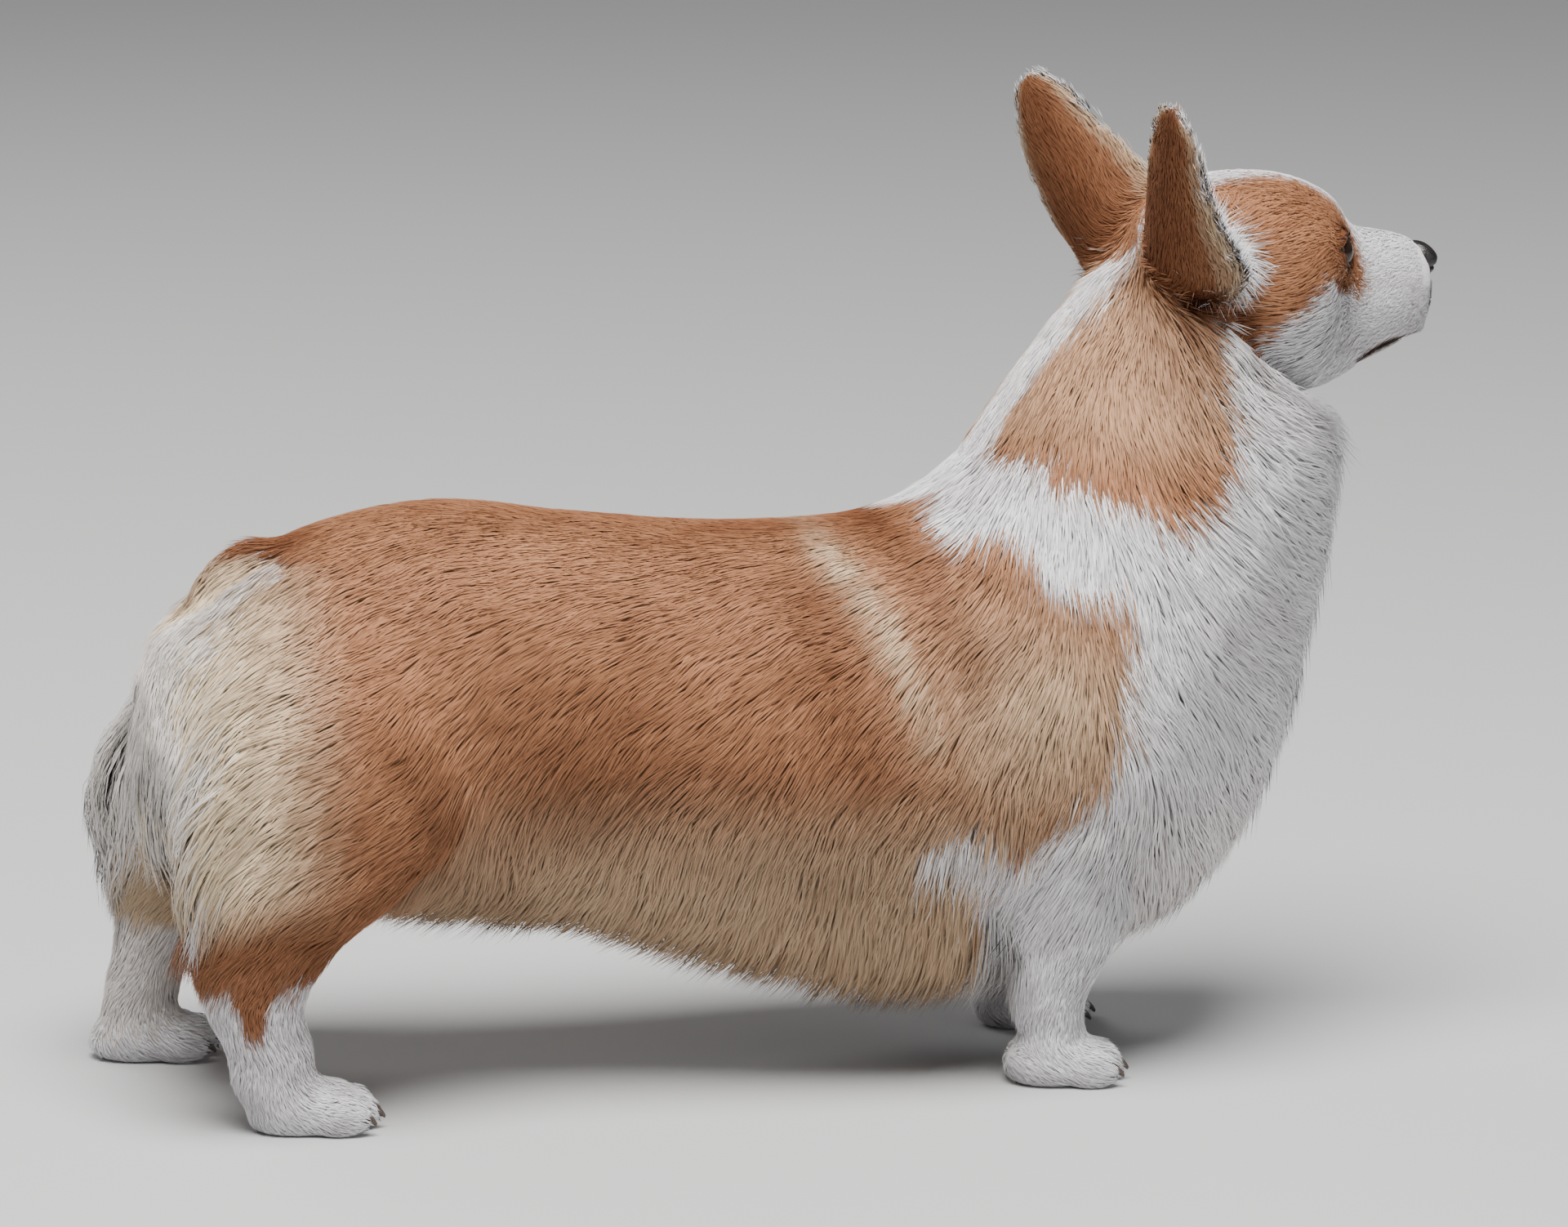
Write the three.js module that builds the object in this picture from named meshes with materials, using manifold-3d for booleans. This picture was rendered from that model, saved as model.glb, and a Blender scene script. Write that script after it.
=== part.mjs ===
// A standing Pembroke Welsh corgi at life size, in millimetres.
// +X runs towards the head, +Y to the animal's left and +Z up. The finished group is moved so that
// its origin is at the floor, under the middle of its bounding box.
// Every form is a closed skin over rings of points. Forms are joined, parted by thin cuts into the
// body's named pieces, and dressed with flat tapered locks where the coat is long.
import * as THREE from "three";
import { mergeVertices } from "three/addons/utils/BufferGeometryUtils.js";
import Module from "manifold-3d";

const wasm = await Module();
wasm.setup();

// Driving dimensions
const GAP = 0.3; // clearance between neighbouring pieces
const FLOOR_Z = -6; // level of the soles, below the line that the measurements start from
const NOSE_TIP = [345, 50, 380];
const HEAD_YAW = 17; // degrees that the head looks to its left
const HEAD_PITCH = -4;
const EYE_RADIUS = 10.5;
const LID_THICKNESS = 2.1;
const EAR_HEIGHT_SEGMENTS = 12;
const TOES = 4;
const CLAW_STEPS = 2;
const CLAW_SIDES = 5;
const SIDES = [
  { name: "left", y: 1 },
  { name: "right", y: -1 },
];

const COLOURS = {
  red: 0xb8763f,
  white: 0xe8e6e3,
  nose: 0x1c1a1b,
  eye: 0x21140d,
  claw: 0x3b322d,
};
const FINISH = {
  fur: { roughness: 0.9, metalness: 0 },
  wet: { roughness: 0.25, metalness: 0 },
  horn: { roughness: 0.5, metalness: 0 },
};

const vec = (x, y, z) => new THREE.Vector3(x, y, z);
const radians = THREE.MathUtils.degToRad;
const UP = vec(0, 0, 1);

// Closed skins

// A closed geometry over rings with equally many points, capped by a strip across each end ring.
function skinOver(rings) {
  const around = rings[0].length;
  const positions = rings.flat().flatMap((p) => p.toArray());
  const index = [];
  for (let i = 0; i + 1 < rings.length; i++)
    for (let j = 0; j < around; j++) {
      const a = i * around + j;
      const b = i * around + ((j + 1) % around);
      index.push(a, b, b + around, a, b + around, a + around);
    }
  const last = (rings.length - 1) * around;
  for (let j = 0; j + 1 < around / 2; j++) {
    const mate = around - 1 - j;
    index.push(j, mate, mate - 1, j, mate - 1, j + 1);
    index.push(last + j, last + mate - 1, last + mate, last + j, last + j + 1, last + mate - 1);
  }
  return new THREE.BufferGeometry()
    .setAttribute("position", new THREE.Float32BufferAttribute(positions, 3))
    .setIndex(index);
}

// The exact solid of a closed geometry, with shared corners merged and its faces pointing out.
function solidOf(geometry) {
  const bare = new THREE.BufferGeometry().setAttribute("position", geometry.getAttribute("position"));
  bare.setIndex(geometry.index);
  const merged = mergeVertices(bare, 1e-4);
  const points = merged.attributes.position.array;
  const faces = [];
  let volume = 0;
  const corners = [vec(0, 0, 0), vec(0, 0, 0), vec(0, 0, 0)];
  for (let i = 0; i < merged.index.count; i += 3) {
    const [a, b, c] = [0, 1, 2].map((k) => merged.index.getX(i + k));
    if (a === b || b === c || c === a) continue;
    faces.push([a, b, c]);
    [a, b, c].forEach((v, k) => corners[k].fromArray(points, 3 * v));
    volume += corners[0].dot(corners[1].clone().cross(corners[2]));
  }
  const triVerts = new Uint32Array(faces.flatMap(([a, b, c]) => (volume > 0 ? [a, b, c] : [a, c, b])));
  return new wasm.Manifold(new wasm.Mesh({ numProp: 3, vertProperties: points, triVerts }));
}

const union = (solids) => wasm.Manifold.union(solids);

// The largest closed surface of a solid, without loose scraps or sealed hollows.
function largest(solid) {
  const outer = solid.decompose().filter((s) => s.volume() > 0);
  return outer.reduce((best, s) => (s.volume() > best.volume() ? s : best));
}

// A large block on one side of a plane, kept off it by half the gap.
function blockBeyond(point, normal, sign) {
  const size = 2000;
  const box = new THREE.BoxGeometry(size, size, size);
  box.translate(0, 0, sign * (size / 2 + GAP / 2));
  box.applyQuaternion(new THREE.Quaternion().setFromUnitVectors(UP, normal.clone().normalize()));
  box.translate(point.x, point.y, point.z);
  return solidOf(box);
}

// The two sides of a solid parted at a plane, with a gap between them.
function partAt(solid, point, normal) {
  return {
    ahead: largest(solid.intersect(blockBeyond(point, normal, 1))),
    behind: largest(solid.intersect(blockBeyond(point, normal, -1))),
  };
}

const smooth = (points) => new THREE.CatmullRomCurve3(points, false, "catmullrom", 0.5);

// A skin along a length u from 0 to 1, with closed sections by angle.
class Surface {
  // The outward direction at a share of the length and an angle.
  normal(u, angle) {
    const step = 0.005;
    const along = this.point(Math.min(u + step, 1), angle).sub(this.point(Math.max(u - step, 0), angle));
    const across = this.point(u, angle + step).sub(this.point(u, angle - step));
    const out = across.cross(along).normalize();
    const away = this.point(u, angle).sub(this.point(u, angle + Math.PI));
    return out.dot(away) < 0 ? out.negate() : out;
  }

  // The closed solid, grown by a clearance all round and out by a share of the coat's depth.
  solid(rings, sides, grow = 0, coatShare = 0) {
    const angles = Array.from({ length: sides }, (_, j) => ((j + 0.5) * 2 * Math.PI) / sides);
    const made = [];
    for (let i = 0; i <= rings; i++) {
      const u = i / rings;
      made.push(angles.map((a) => this.point(u, a, grow + coatShare * this.coatAt(u, a))));
    }
    const start = this.centre(0).sub(this.centre(0.02)).setLength(grow);
    const end = this.centre(1).sub(this.centre(0.98)).setLength(grow);
    made[0].forEach((p) => p.add(start));
    made[rings].forEach((p) => p.add(end));
    return solidOf(skinOver(made));
  }
}

// A loft: closed sections between an upper and a lower line, with a half width beside them.
// Each station is [topX, topZ, lowX, lowZ, half, sideY, widest, coat]. widest moves the widest level
// up or down by a share of the half height, and coat is how far long hair reaches past the low line.
class Loft extends Surface {
  lie = -1; // hair lies towards the start of the length

  constructor(stations, matrix = new THREE.Matrix4()) {
    super();
    this.top = smooth(stations.map(([x, z, , , , y]) => vec(x, y, z)));
    this.low = smooth(stations.map(([, , x, z, , y]) => vec(x, y, z)));
    this.width = smooth(stations.map((s) => vec(s[4], s[6], s[7] ?? 0)));
    this.matrix = matrix;
  }

  centre(u) {
    return this.top.getPoint(u).add(this.low.getPoint(u)).multiplyScalar(0.5).applyMatrix4(this.matrix);
  }

  // Depth of the long coat: full under the belly and chest, less on the sides, none on top.
  coatAt(u, angle) {
    return Math.max(this.width.getPoint(u).z, 0) * ((1 - Math.cos(angle)) / 2) ** 1.4;
  }

  // The skin's point at a share u of the length and an angle from the top, towards the left.
  point(u, angle, grow = 0) {
    const top = this.top.getPoint(u);
    const low = this.low.getPoint(u);
    const { x: half, y: widest } = this.width.getPoint(u);
    const centre = top.clone().add(low).multiplyScalar(0.5);
    const rise = top.sub(low).multiplyScalar(0.5);
    const height = rise.length();
    rise.normalize();
    const sine = Math.sin(angle);
    const up = (height + grow) * Math.cos(angle) + height * widest * sine * sine;
    const side = Math.sign(sine) * Math.abs(sine) ** 0.92 * (half + grow);
    return centre.addScaledVector(rise, up).add(vec(0, side, 0)).applyMatrix4(this.matrix);
  }
}

// A limb: level ovals on a path. Each station is [x, y, z, fore, side, coat], where coat is how far
// long hair reaches behind the limb.
class Limb extends Surface {
  lie = 1; // hair lies towards the foot

  constructor(stations) {
    super();
    this.path = smooth(stations.map(([x, y, z]) => vec(x, y, z)));
    this.size = smooth(stations.map((s) => vec(s[3], s[4], s[5] ?? 0)));
  }

  centre(u) {
    return this.path.getPoint(u);
  }

  coatAt(u, angle) {
    return Math.max(this.size.getPoint(u).z, 0) * Math.max(-Math.cos(angle), 0) ** 1.2;
  }

  point(u, angle, grow = 0) {
    const { x: fore, y: side } = this.size.getPoint(u);
    const offset = vec((fore + grow) * Math.cos(angle), (side + grow) * Math.sin(angle), 0);
    return this.path.getPoint(u).add(offset);
  }
}

// An ellipsoid with its centre and half sizes.
function ellipsoid(centre, halves, wide = 14, high = 9) {
  const ball = new THREE.SphereGeometry(1, wide, high);
  ball.scale(...halves);
  ball.translate(...centre);
  return ball;
}

// Locks

// Seeded random numbers, so that every build is the same.
function randomSource(seed) {
  let state = seed;
  return () => {
    state = (state + 0x6d2b79f5) | 0;
    let t = Math.imul(state ^ (state >>> 15), 1 | state);
    t = (t + Math.imul(t ^ (t >>> 7), 61 | t)) ^ t;
    return ((t ^ (t >>> 14)) >>> 0) / 4294967296;
  };
}
const random = randomSource(20);
const vary = (value, share) => value * (1 + share * (2 * random() - 1));

// A flat tapered lock: a blade along a path, its broad sides turned to the outward directions.
function lockSolid({ path, outward, half, thick }, grow = 0) {
  const last = path.length - 1;
  const rings = path.map((p, i) => {
    const share = i / last;
    const ahead = path[Math.min(i + 1, last)].clone().sub(path[Math.max(i - 1, 0)]).normalize();
    const across = outward[i].clone().cross(ahead).normalize();
    const out = ahead.clone().cross(across);
    const wide = half * Math.sin(Math.PI * (0.27 + 0.68 * share)) + grow;
    const deep = thick * (1 - 0.78 * share) + grow;
    const centre = p.clone();
    if (i === 0) centre.addScaledVector(ahead, -2 * grow);
    if (i === last) centre.addScaledVector(ahead, 2 * grow);
    return [
      centre.clone().addScaledVector(across, wide),
      centre.clone().addScaledVector(out, deep),
      centre.clone().addScaledVector(across, -wide),
      centre.clone().addScaledVector(out, -deep),
    ];
  });
  return solidOf(skinOver(rings));
}

// The course of a lock over a surface: rooted under the skin, lying along the lie of the coat and
// rising to its tip. slant turns the lie from straight back (0) to straight down (90 degrees).
function lockOver(surface, { u, angle, slant, length, half, thick, lift, sink = 6 }) {
  const steps = 2;
  const step = length / steps;
  const down = Math.sin(angle) >= 0 ? 1 : -1;
  const probe = 0.01;
  const path = [];
  const outward = [];
  let nowU = u;
  let nowAngle = angle;
  for (let i = 0; i <= steps; i++) {
    const normal = surface.normal(nowU, nowAngle);
    const height = THREE.MathUtils.lerp(-sink, lift, (i / steps) ** 0.75);
    path.push(surface.point(nowU, nowAngle).addScaledVector(normal, height));
    outward.push(normal);
    const before = surface.point(Math.max(nowU - probe, 0), nowAngle);
    const along = before.distanceTo(surface.point(Math.min(nowU + probe, 1), nowAngle)) / (2 * probe);
    const beside = surface.point(nowU, nowAngle - probe);
    const around = beside.distanceTo(surface.point(nowU, nowAngle + probe)) / (2 * probe);
    const moved = nowU + (surface.lie * step * Math.cos(slant)) / along;
    nowU = THREE.MathUtils.clamp(moved, 0.004, 0.996);
    nowAngle += (down * step * Math.sin(slant)) / around;
  }
  return { path, outward, half, thick };
}

// Rows of locks over part of a surface. Each row is at a share of the length and holds locks spread
// between two angles from the top, on both sides, with every second row set half a step over.
function rowsOver(surface, zone) {
  const locks = [];
  zone.rows.forEach((u, row) => {
    const step = (zone.to - zone.from) / zone.columns;
    for (let j = 0; j < zone.columns; j++)
      for (const side of [1, -1]) {
        const degrees = zone.from + step * (j + (row % 2 ? 0.2 : 0.7)) + step * 0.25 * (random() - 0.5);
        const share = (degrees - zone.from) / (zone.to - zone.from);
        const angle = side * radians(degrees);
        const lift = zone.lift ?? surface.coatAt(u, angle);
        locks.push(
          lockOver(surface, {
            u: u + 0.008 * (random() - 0.5),
            angle,
            slant: radians(vary(THREE.MathUtils.lerp(zone.slant[0], zone.slant[1], share), 0.12)),
            length: vary(zone.length, 0.12),
            half: vary(zone.half, 0.12),
            thick: zone.thick,
            lift: vary(lift, 0.18),
          }),
        );
      }
  });
  return locks;
}

// Trunk: rump to the back of the head, one loft
const TRUNK = [
  [-316, 220, -322, 158, 26, 0, 0, 5],
  [-302, 240, -314, 126, 52, 0, 0, 7],
  [-281, 254, -292, 106, 68, 0, 0, 8],
  [-238, 277, -240, 98, 79, 0, 0, 8],
  [-176, 288, -180, 98, 84, 0, 0.02, 16],
  [-108, 280, -112, 99, 82, 0, 0.02, 27],
  [-50, 273, -50, 87, 87, 0, 0, 34],
  [0, 271, 8, 76, 92, 0, 0, 41],
  [34, 273, 75, 67, 95, 0, 0, 45],
  [60, 280, 140, 66, 97, 0, 0, 34],
  [79, 291, 194, 82, 98, 0, 0, 17],
  [92, 304, 228, 118, 95, 0, 0, 11],
  [103, 320, 245, 162, 90, 1, 0, 12],
  [116, 338, 256, 206, 84, 2, 0, 13],
  [129, 354, 263, 246, 77, 4, 0, 18],
  [141, 368, 267, 284, 70, 7, 0, 22],
  [157, 384, 262, 314, 60, 11, 0, 24],
  [173, 397, 250, 340, 50, 14, 0, 18],
  [188, 408, 240, 356, 40, 18, 0, 0],
];
const TRUNK_RINGS = 34;
const TRUNK_SIDES = 24;
const trunk = new Loft(TRUNK);
const trunkSolid = (grow, coatShare) => trunk.solid(TRUNK_RINGS, TRUNK_SIDES, grow, coatShare);

// Head: own frame with its origin at the nose tip, +X forward, then turned and placed
const headMatrix = new THREE.Matrix4().compose(
  vec(...NOSE_TIP),
  new THREE.Quaternion().setFromEuler(new THREE.Euler(0, radians(-HEAD_PITCH), radians(HEAD_YAW), "ZYX")),
  vec(1, 1, 1),
);
const headPoint = (x, y, z) => vec(x, y, z).applyMatrix4(headMatrix);
const headSolid = (geometry) => solidOf(geometry.applyMatrix4(headMatrix));
const SKULL = [
  [-170, 26, -170, -24, 20, 0, 0],
  [-158, 39, -156, -44, 35, 0, 0],
  [-137, 46, -134, -59, 47, 0, -0.05],
  [-114, 48, -110, -67, 56, 0, -0.06],
  [-94, 46.5, -90, -67, 53, 0, -0.06],
  [-78, 42, -76, -65, 43.5, 0, -0.08],
  [-67, 36, -66, -62, 35, 0, -0.2],
  [-58, 26, -57, -57, 30.5, 0, -0.26],
  [-49, 20, -48, -53, 27.5, 0, -0.26],
  [-36, 18, -36, -49, 24.5, 0, -0.24],
  [-22, 15, -25, -44.5, 22, 0, -0.2],
  [-11, 9, -16, -40.5, 18.5, 0, -0.15],
  [-5.5, 3, -9, -36, 14.5, 0, -0.1],
  [-3, -8, -5, -28, 8, 0, 0],
];
const skull = new Loft(SKULL, headMatrix);
const skullSolid = (grow, rings = 20, sides = 20) => skull.solid(rings, sides, grow);

// Eyes: balls behind lids, looking forward and outward
const EYE = { x: -77, y: 26.5, z: 10, outward: 40, upward: 4 };
const LID_OPENING = { half: 10.3, rise: 7.2, tilt: 12 };
function eyeGeometry(side, radius, wide, high) {
  return ellipsoid([EYE.x, EYE.y * side, EYE.z], [radius, radius, radius], wide, high);
}

// An almond prism from the middle of the eye outwards, with its inner corner lower.
function lidOpening(side) {
  const { half, rise, tilt } = LID_OPENING;
  const almond = new THREE.Shape();
  almond.moveTo(-half, 0);
  almond.quadraticCurveTo(0, 2 * rise, half, 0);
  almond.quadraticCurveTo(0, -2 * rise * 0.9, -half, 0);
  const prism = new THREE.ExtrudeGeometry(almond, { depth: 24, bevelEnabled: false, curveSegments: 4 });
  prism.rotateZ(radians(tilt * side));
  prism.applyMatrix4(new THREE.Matrix4().makeBasis(vec(0, 1, 0), vec(0, 0, 1), vec(1, 0, 0)));
  prism.rotateY(radians(-EYE.upward));
  prism.rotateZ(radians(EYE.outward * side));
  return prism.translate(EYE.x, EYE.y * side, EYE.z);
}

// Nose: a rounded pad with comma nostrils
const NOSE = [
  [-16, 8, -15, -8, 7.5, 0, 0],
  [-11.5, 10.5, -12, -9, 10.5, 0, 0],
  [-6, 10, -7, -9, 11.5, 0, 0.1],
  [-2, 7.5, -3, -6.5, 10.3, 0, 0.1],
  [0.5, 3.5, -0.5, -3, 6.2, 0, 0.1],
];
const nosePad = new Loft(NOSE, headMatrix);
function nostril(side) {
  const hole = ellipsoid([-0.5, 5.2 * side, 0.4], [4, 2.3, 2.2], 7, 5);
  const slit = ellipsoid([0, 0, 0], [5.2, 1.2, 1.1], 6, 4);
  slit.rotateZ(radians(-38 * side));
  slit.translate(-4.2, 9.5 * side, -1.4);
  return union([headSolid(hole), headSolid(slit)]);
}

// Mouth: a line that runs round the muzzle between the lips, above a slightly narrower lower jaw
const MOUTH = { cornerX: -56, cornerZ: -41, frontX: 12, frontZ: -31, line: 1.3, depth: 4, lipStep: 1.8 };
function mouthSlab(thicknessUp, thicknessDown) {
  const rings = [];
  const steps = 5;
  for (let i = 0; i <= steps; i++) {
    const share = i / steps;
    const x = THREE.MathUtils.lerp(MOUTH.cornerX, MOUTH.frontX, share);
    const z = THREE.MathUtils.lerp(MOUTH.cornerZ, MOUTH.frontZ, share) - 1.6 * Math.sin(Math.PI * share);
    const low = z - thicknessDown;
    const high = z + thicknessUp;
    rings.push([headPoint(x, -60, low), headPoint(x, 60, low), headPoint(x, 60, high), headPoint(x, -60, high)]);
  }
  return solidOf(skinOver(rings));
}

// Ears: cupped leaves, each section a crescent open to the front
const EAR = {
  root: { left: vec(-172, 30, 6), right: vec(-180, 28, 6) },
  tip: vec(-203, 68, 84),
  bend: vec(-2, 3, 2),
  outward: { left: 28, right: -9 }, // degrees that each opening turns away from straight ahead
};
// Each section is [share of the height, half width, half angle of the cup, thickness].
const EAR_SECTIONS = [
  [-0.2, 28, 100, 6],
  [0, 31, 92, 5.5],
  [0.15, 32, 76, 4.6],
  [0.3, 30, 60, 4],
  [0.5, 26, 46, 3.6],
  [0.7, 21, 36, 3.2],
  [0.85, 16.5, 30, 2.8],
  [0.95, 11.5, 26, 2.3],
  [1, 6, 22, 1.7],
];
function earSolid(side, root, outward) {
  const axis = EAR.tip.clone().sub(root);
  const straight = axis.clone().normalize();
  const face = vec(Math.cos(radians(outward)), Math.sin(radians(outward)), 0);
  face.addScaledVector(straight, -face.dot(straight)).normalize();
  const across = straight.clone().cross(face);
  const sizes = smooth(EAR_SECTIONS.map(([, half, angle, thick]) => vec(half, angle, thick)));
  const shares = smooth(EAR_SECTIONS.map(([share]) => vec(share, 0, 0)));
  const columns = 7;
  const rings = [];
  for (let i = 0; i <= EAR_HEIGHT_SEGMENTS; i++) {
    const v = i / EAR_HEIGHT_SEGMENTS;
    const share = shares.getPoint(v).x;
    const { x: half, y: angle, z: thick } = sizes.getPoint(v);
    const spread = radians(angle);
    const radius = half / Math.sin(Math.min(spread, Math.PI / 2));
    const back = root.clone().addScaledVector(axis, share);
    back.addScaledVector(EAR.bend, 4 * share * (1 - share));
    const hub = back.addScaledVector(face, radius);
    const rim = (turn, reach) =>
      hub.clone().addScaledVector(face, -reach * Math.cos(turn)).addScaledVector(across, reach * Math.sin(turn));
    const turns = Array.from({ length: columns }, (_, j) => spread * ((2 * j) / (columns - 1) - 1));
    const inner = (turn) => radius - thick * (1 - 0.55 * (turn / spread) ** 2);
    const ring = [...turns.map((t) => rim(t, radius)), ...turns.reverse().map((t) => rim(t, inner(t)))];
    rings.push(ring.map((p) => headPoint(p.x, p.y * side, p.z)));
  }
  return solidOf(skinOver(rings));
}

// Tail: a docked stub that lies on the end of the croup
const TAIL = [
  [-246, 276, -250, 246, 10, 0, 0],
  [-262, 275, -268, 240, 13.5, 0, 0],
  [-278, 269, -284, 234, 14, 0, 0],
  [-291, 258, -293, 228, 12, 0, 0],
  [-299, 246, -297, 230, 7, 0, 0],
];
const tail = new Loft(TAIL);

// Legs
const FORELEGS = {
  left: [
    [130, 60, 150, 50, 30],
    [123, 62, 112, 42, 27],
    [130, 59, 86, 34, 24],
    [133, 56, 64, 26, 20],
    [129, 52, 38, 20, 17.5],
    [131, 50, 21, 18, 17],
    [134, 49, 6, 18, 17],
  ],
  right: [
    [130, -62, 150, 50, 30],
    [120, -66, 112, 42, 27],
    [127, -66, 86, 34, 24],
    [128, -65, 64, 27, 20],
    [121, -63, 38, 20.5, 17.5],
    [122, -62, 21, 18, 17],
    [125, -62, 6, 18, 17],
  ],
};
const HINDLEGS = {
  left: [
    [-222, 40, 238, 34, 26, 0],
    [-232, 58, 205, 62, 38, 7],
    [-245, 68, 170, 76, 37, 11],
    [-256, 74, 138, 77, 33, 13],
    [-274, 78, 110, 56, 28, 9],
    [-292, 78, 86, 34, 20, 3],
    [-305, 78, 58, 22, 17, 0],
    [-312, 78, 34, 20, 16, 0],
    [-316, 78, 10, 21, 17, 0],
  ],
  right: [
    [-222, -40, 238, 34, 26, 0],
    [-228, -58, 205, 58, 38, 7],
    [-237, -68, 170, 70, 37, 10],
    [-244, -74, 138, 68, 33, 11],
    [-257, -79, 110, 52, 28, 8],
    [-272, -78, 86, 37, 20, 3],
    [-278, -76, 58, 26, 17, 0],
    [-271, -75, 34, 22.5, 16, 0],
    [-267, -75, 10, 22, 17, 0],
  ],
};
const PAWS = {
  fore: { left: [138, 49], right: [127, -62], length: 30, width: 24 },
  hind: { left: [-309, 78], right: [-252, -74], length: 33, width: 23 },
};
const WRIST_Z = 34;
const HOCK_Z = 84;
const HIND_ANKLE_Z = 30;

// The toes of a paw: centres and half sizes, spread round its front.
function toesOf([x, y], { length, width }) {
  return Array.from({ length: TOES }, (_, i) => {
    const place = i - (TOES - 1) / 2;
    const middle = Math.abs(place) < 1;
    const turn = place * 9;
    return {
      centre: [x + length * (middle ? 0.52 : 0.34), y + place * width * 0.5, FLOOR_Z + 9.5],
      halves: [length * 0.5, width * 0.32, middle ? 12.5 : 11.5],
      turn,
    };
  });
}

function toeSolid({ centre, halves, turn }) {
  const toe = ellipsoid([0, 0, 0], halves, 7, 5);
  toe.rotateZ(radians(turn));
  toe.translate(...centre);
  return solidOf(toe);
}

function pawSolid(place, size) {
  const [x, y] = place;
  const pad = ellipsoid([x - 3, y, FLOOR_Z + 11], [size.length * 0.9, size.width * 0.92, 17], 10, 5);
  return union([solidOf(pad), ...toesOf(place, size).map(toeSolid)]);
}

// A short blunt claw that curves down out of the end of a toe.
function clawSolid({ centre, halves, turn }, grow = 0) {
  const rings = [];
  for (let i = 0; i <= CLAW_STEPS; i++) {
    const share = i / CLAW_STEPS;
    const bend = radians(10 + 52 * share);
    const along = halves[0] - 7 + 11 * Math.sin(bend);
    const height = 6 - 6 * (1 - Math.cos(bend)) - 2.5 * share;
    const radius = 2.3 * (1 - 0.62 * share) + grow;
    const reach = grow * Math.sign(share - 0.5);
    const ring = Array.from({ length: CLAW_SIDES }, (_, j) => {
      const a = (2 * j * Math.PI) / CLAW_SIDES;
      const lean = 0.5 * radius * Math.sin(a);
      return vec(along + reach + lean, radius * Math.cos(a) * 0.85, height + radius * Math.sin(a));
    });
    const spin = new THREE.Matrix4().makeRotationZ(radians(turn));
    spin.setPosition(centre[0], centre[1], centre[2] - 4);
    rings.push(ring.map((p) => p.applyMatrix4(spin)));
  }
  return solidOf(skinOver(rings));
}

// Assembly
const dog = new THREE.Group();
dog.name = "corgi";
function meshOf(solid) {
  const { vertProperties, triVerts } = solid.getMesh();
  return new THREE.BufferGeometry()
    .setAttribute("position", new THREE.Float32BufferAttribute(vertProperties, 3))
    .setIndex([...triVerts]);
}
function addNode(name, solid, colour, finish) {
  const material = new THREE.MeshStandardMaterial({ color: colour, ...finish });
  const mesh = new THREE.Mesh(meshOf(solid), material);
  mesh.name = name;
  dog.add(mesh);
}

// Rows of locks on the trunk, from the rump forwards
const TRUNK_ROWS = {
  belly: { rows: [0.27, 0.34, 0.41, 0.48], columns: 3, from: 112, to: 178 },
  chest: { rows: [0.56, 0.63, 0.7], columns: 3, from: 94, to: 180 },
  neck: { rows: [0.77, 0.84, 0.91], columns: 4, from: 40, to: 180 },
};
const trunkLocks = [
  ...rowsOver(trunk, { ...TRUNK_ROWS.belly, slant: [62, 14], length: 78, half: 23, thick: 3.6 }),
  ...rowsOver(trunk, { ...TRUNK_ROWS.chest, slant: [35, 5], length: 66, half: 21, thick: 3.6 }),
  ...rowsOver(trunk, { ...TRUNK_ROWS.neck, slant: [12, 4], length: 60, half: 19, thick: 3.4 }),
];

// Cheeks: short locks behind the jaw, over the start of the ruff
const cheekLocks = rowsOver(skull, {
  rows: [0.2, 0.3],
  columns: 2,
  from: 108,
  to: 164,
  slant: [20, 0],
  length: 38,
  half: 12,
  thick: 2.6,
  lift: 5,
});

// Rump: locks that hang down over the flat end between the thighs
function rumpLocks() {
  const locks = [];
  const levels = [214, 176];
  levels.forEach((z, row) => {
    for (const place of row % 2 ? [-1, 0, 1] : [-1.4, -0.5, 0.5, 1.4]) {
      const y = place * 20;
      const start = vec(-306 + 0.1 * Math.abs(y), y, z);
      const drop = [0, 16, 36, 60].map((d) => vary(d, 0.08));
      const back = [0, -15, -19, -17].map((b) => vary(b, 0.08) + 0.12 * Math.abs(y));
      const path = drop.map((d, i) => start.clone().add(vec(back[i], 0.1 * y * (i / 3), -d)));
      locks.push({ path, outward: path.map(() => vec(-1, 0.006 * y, 0)), half: 15, thick: 3.2 });
    }
  });
  return locks;
}

// Legs: the pieces of each limb and its locks
const limbs = SIDES.map(({ name }) => {
  const fore = new Limb(FORELEGS[name]);
  const hind = new Limb(HINDLEGS[name]);
  const elbow = { rows: [0.2, 0.3], columns: 1, from: 124, to: 172, length: 38, half: 12, thick: 2.8 };
  const thigh = { rows: [0.17, 0.27, 0.37], columns: 2, from: 108, to: 178, length: 60, half: 16 };
  return {
    name,
    fore,
    hind,
    elbowLocks: rowsOver(fore, { ...elbow, slant: [30, 6], lift: 9 }),
    thighLocks: rowsOver(hind, { ...thigh, slant: [16, 2], thick: 3.4 }),
  };
});
const FORE_RINGS = 10;
const HIND_RINGS = 14;
const LIMB_SIDES = 12;
const limbCutters = limbs.flatMap(({ fore, hind, elbowLocks, thighLocks }) => [
  fore.solid(FORE_RINGS, LIMB_SIDES, GAP),
  hind.solid(HIND_RINGS, LIMB_SIDES, GAP),
  ...[...elbowLocks, ...thighLocks].map((lock) => lockSolid(lock, GAP)),
]);

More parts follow.
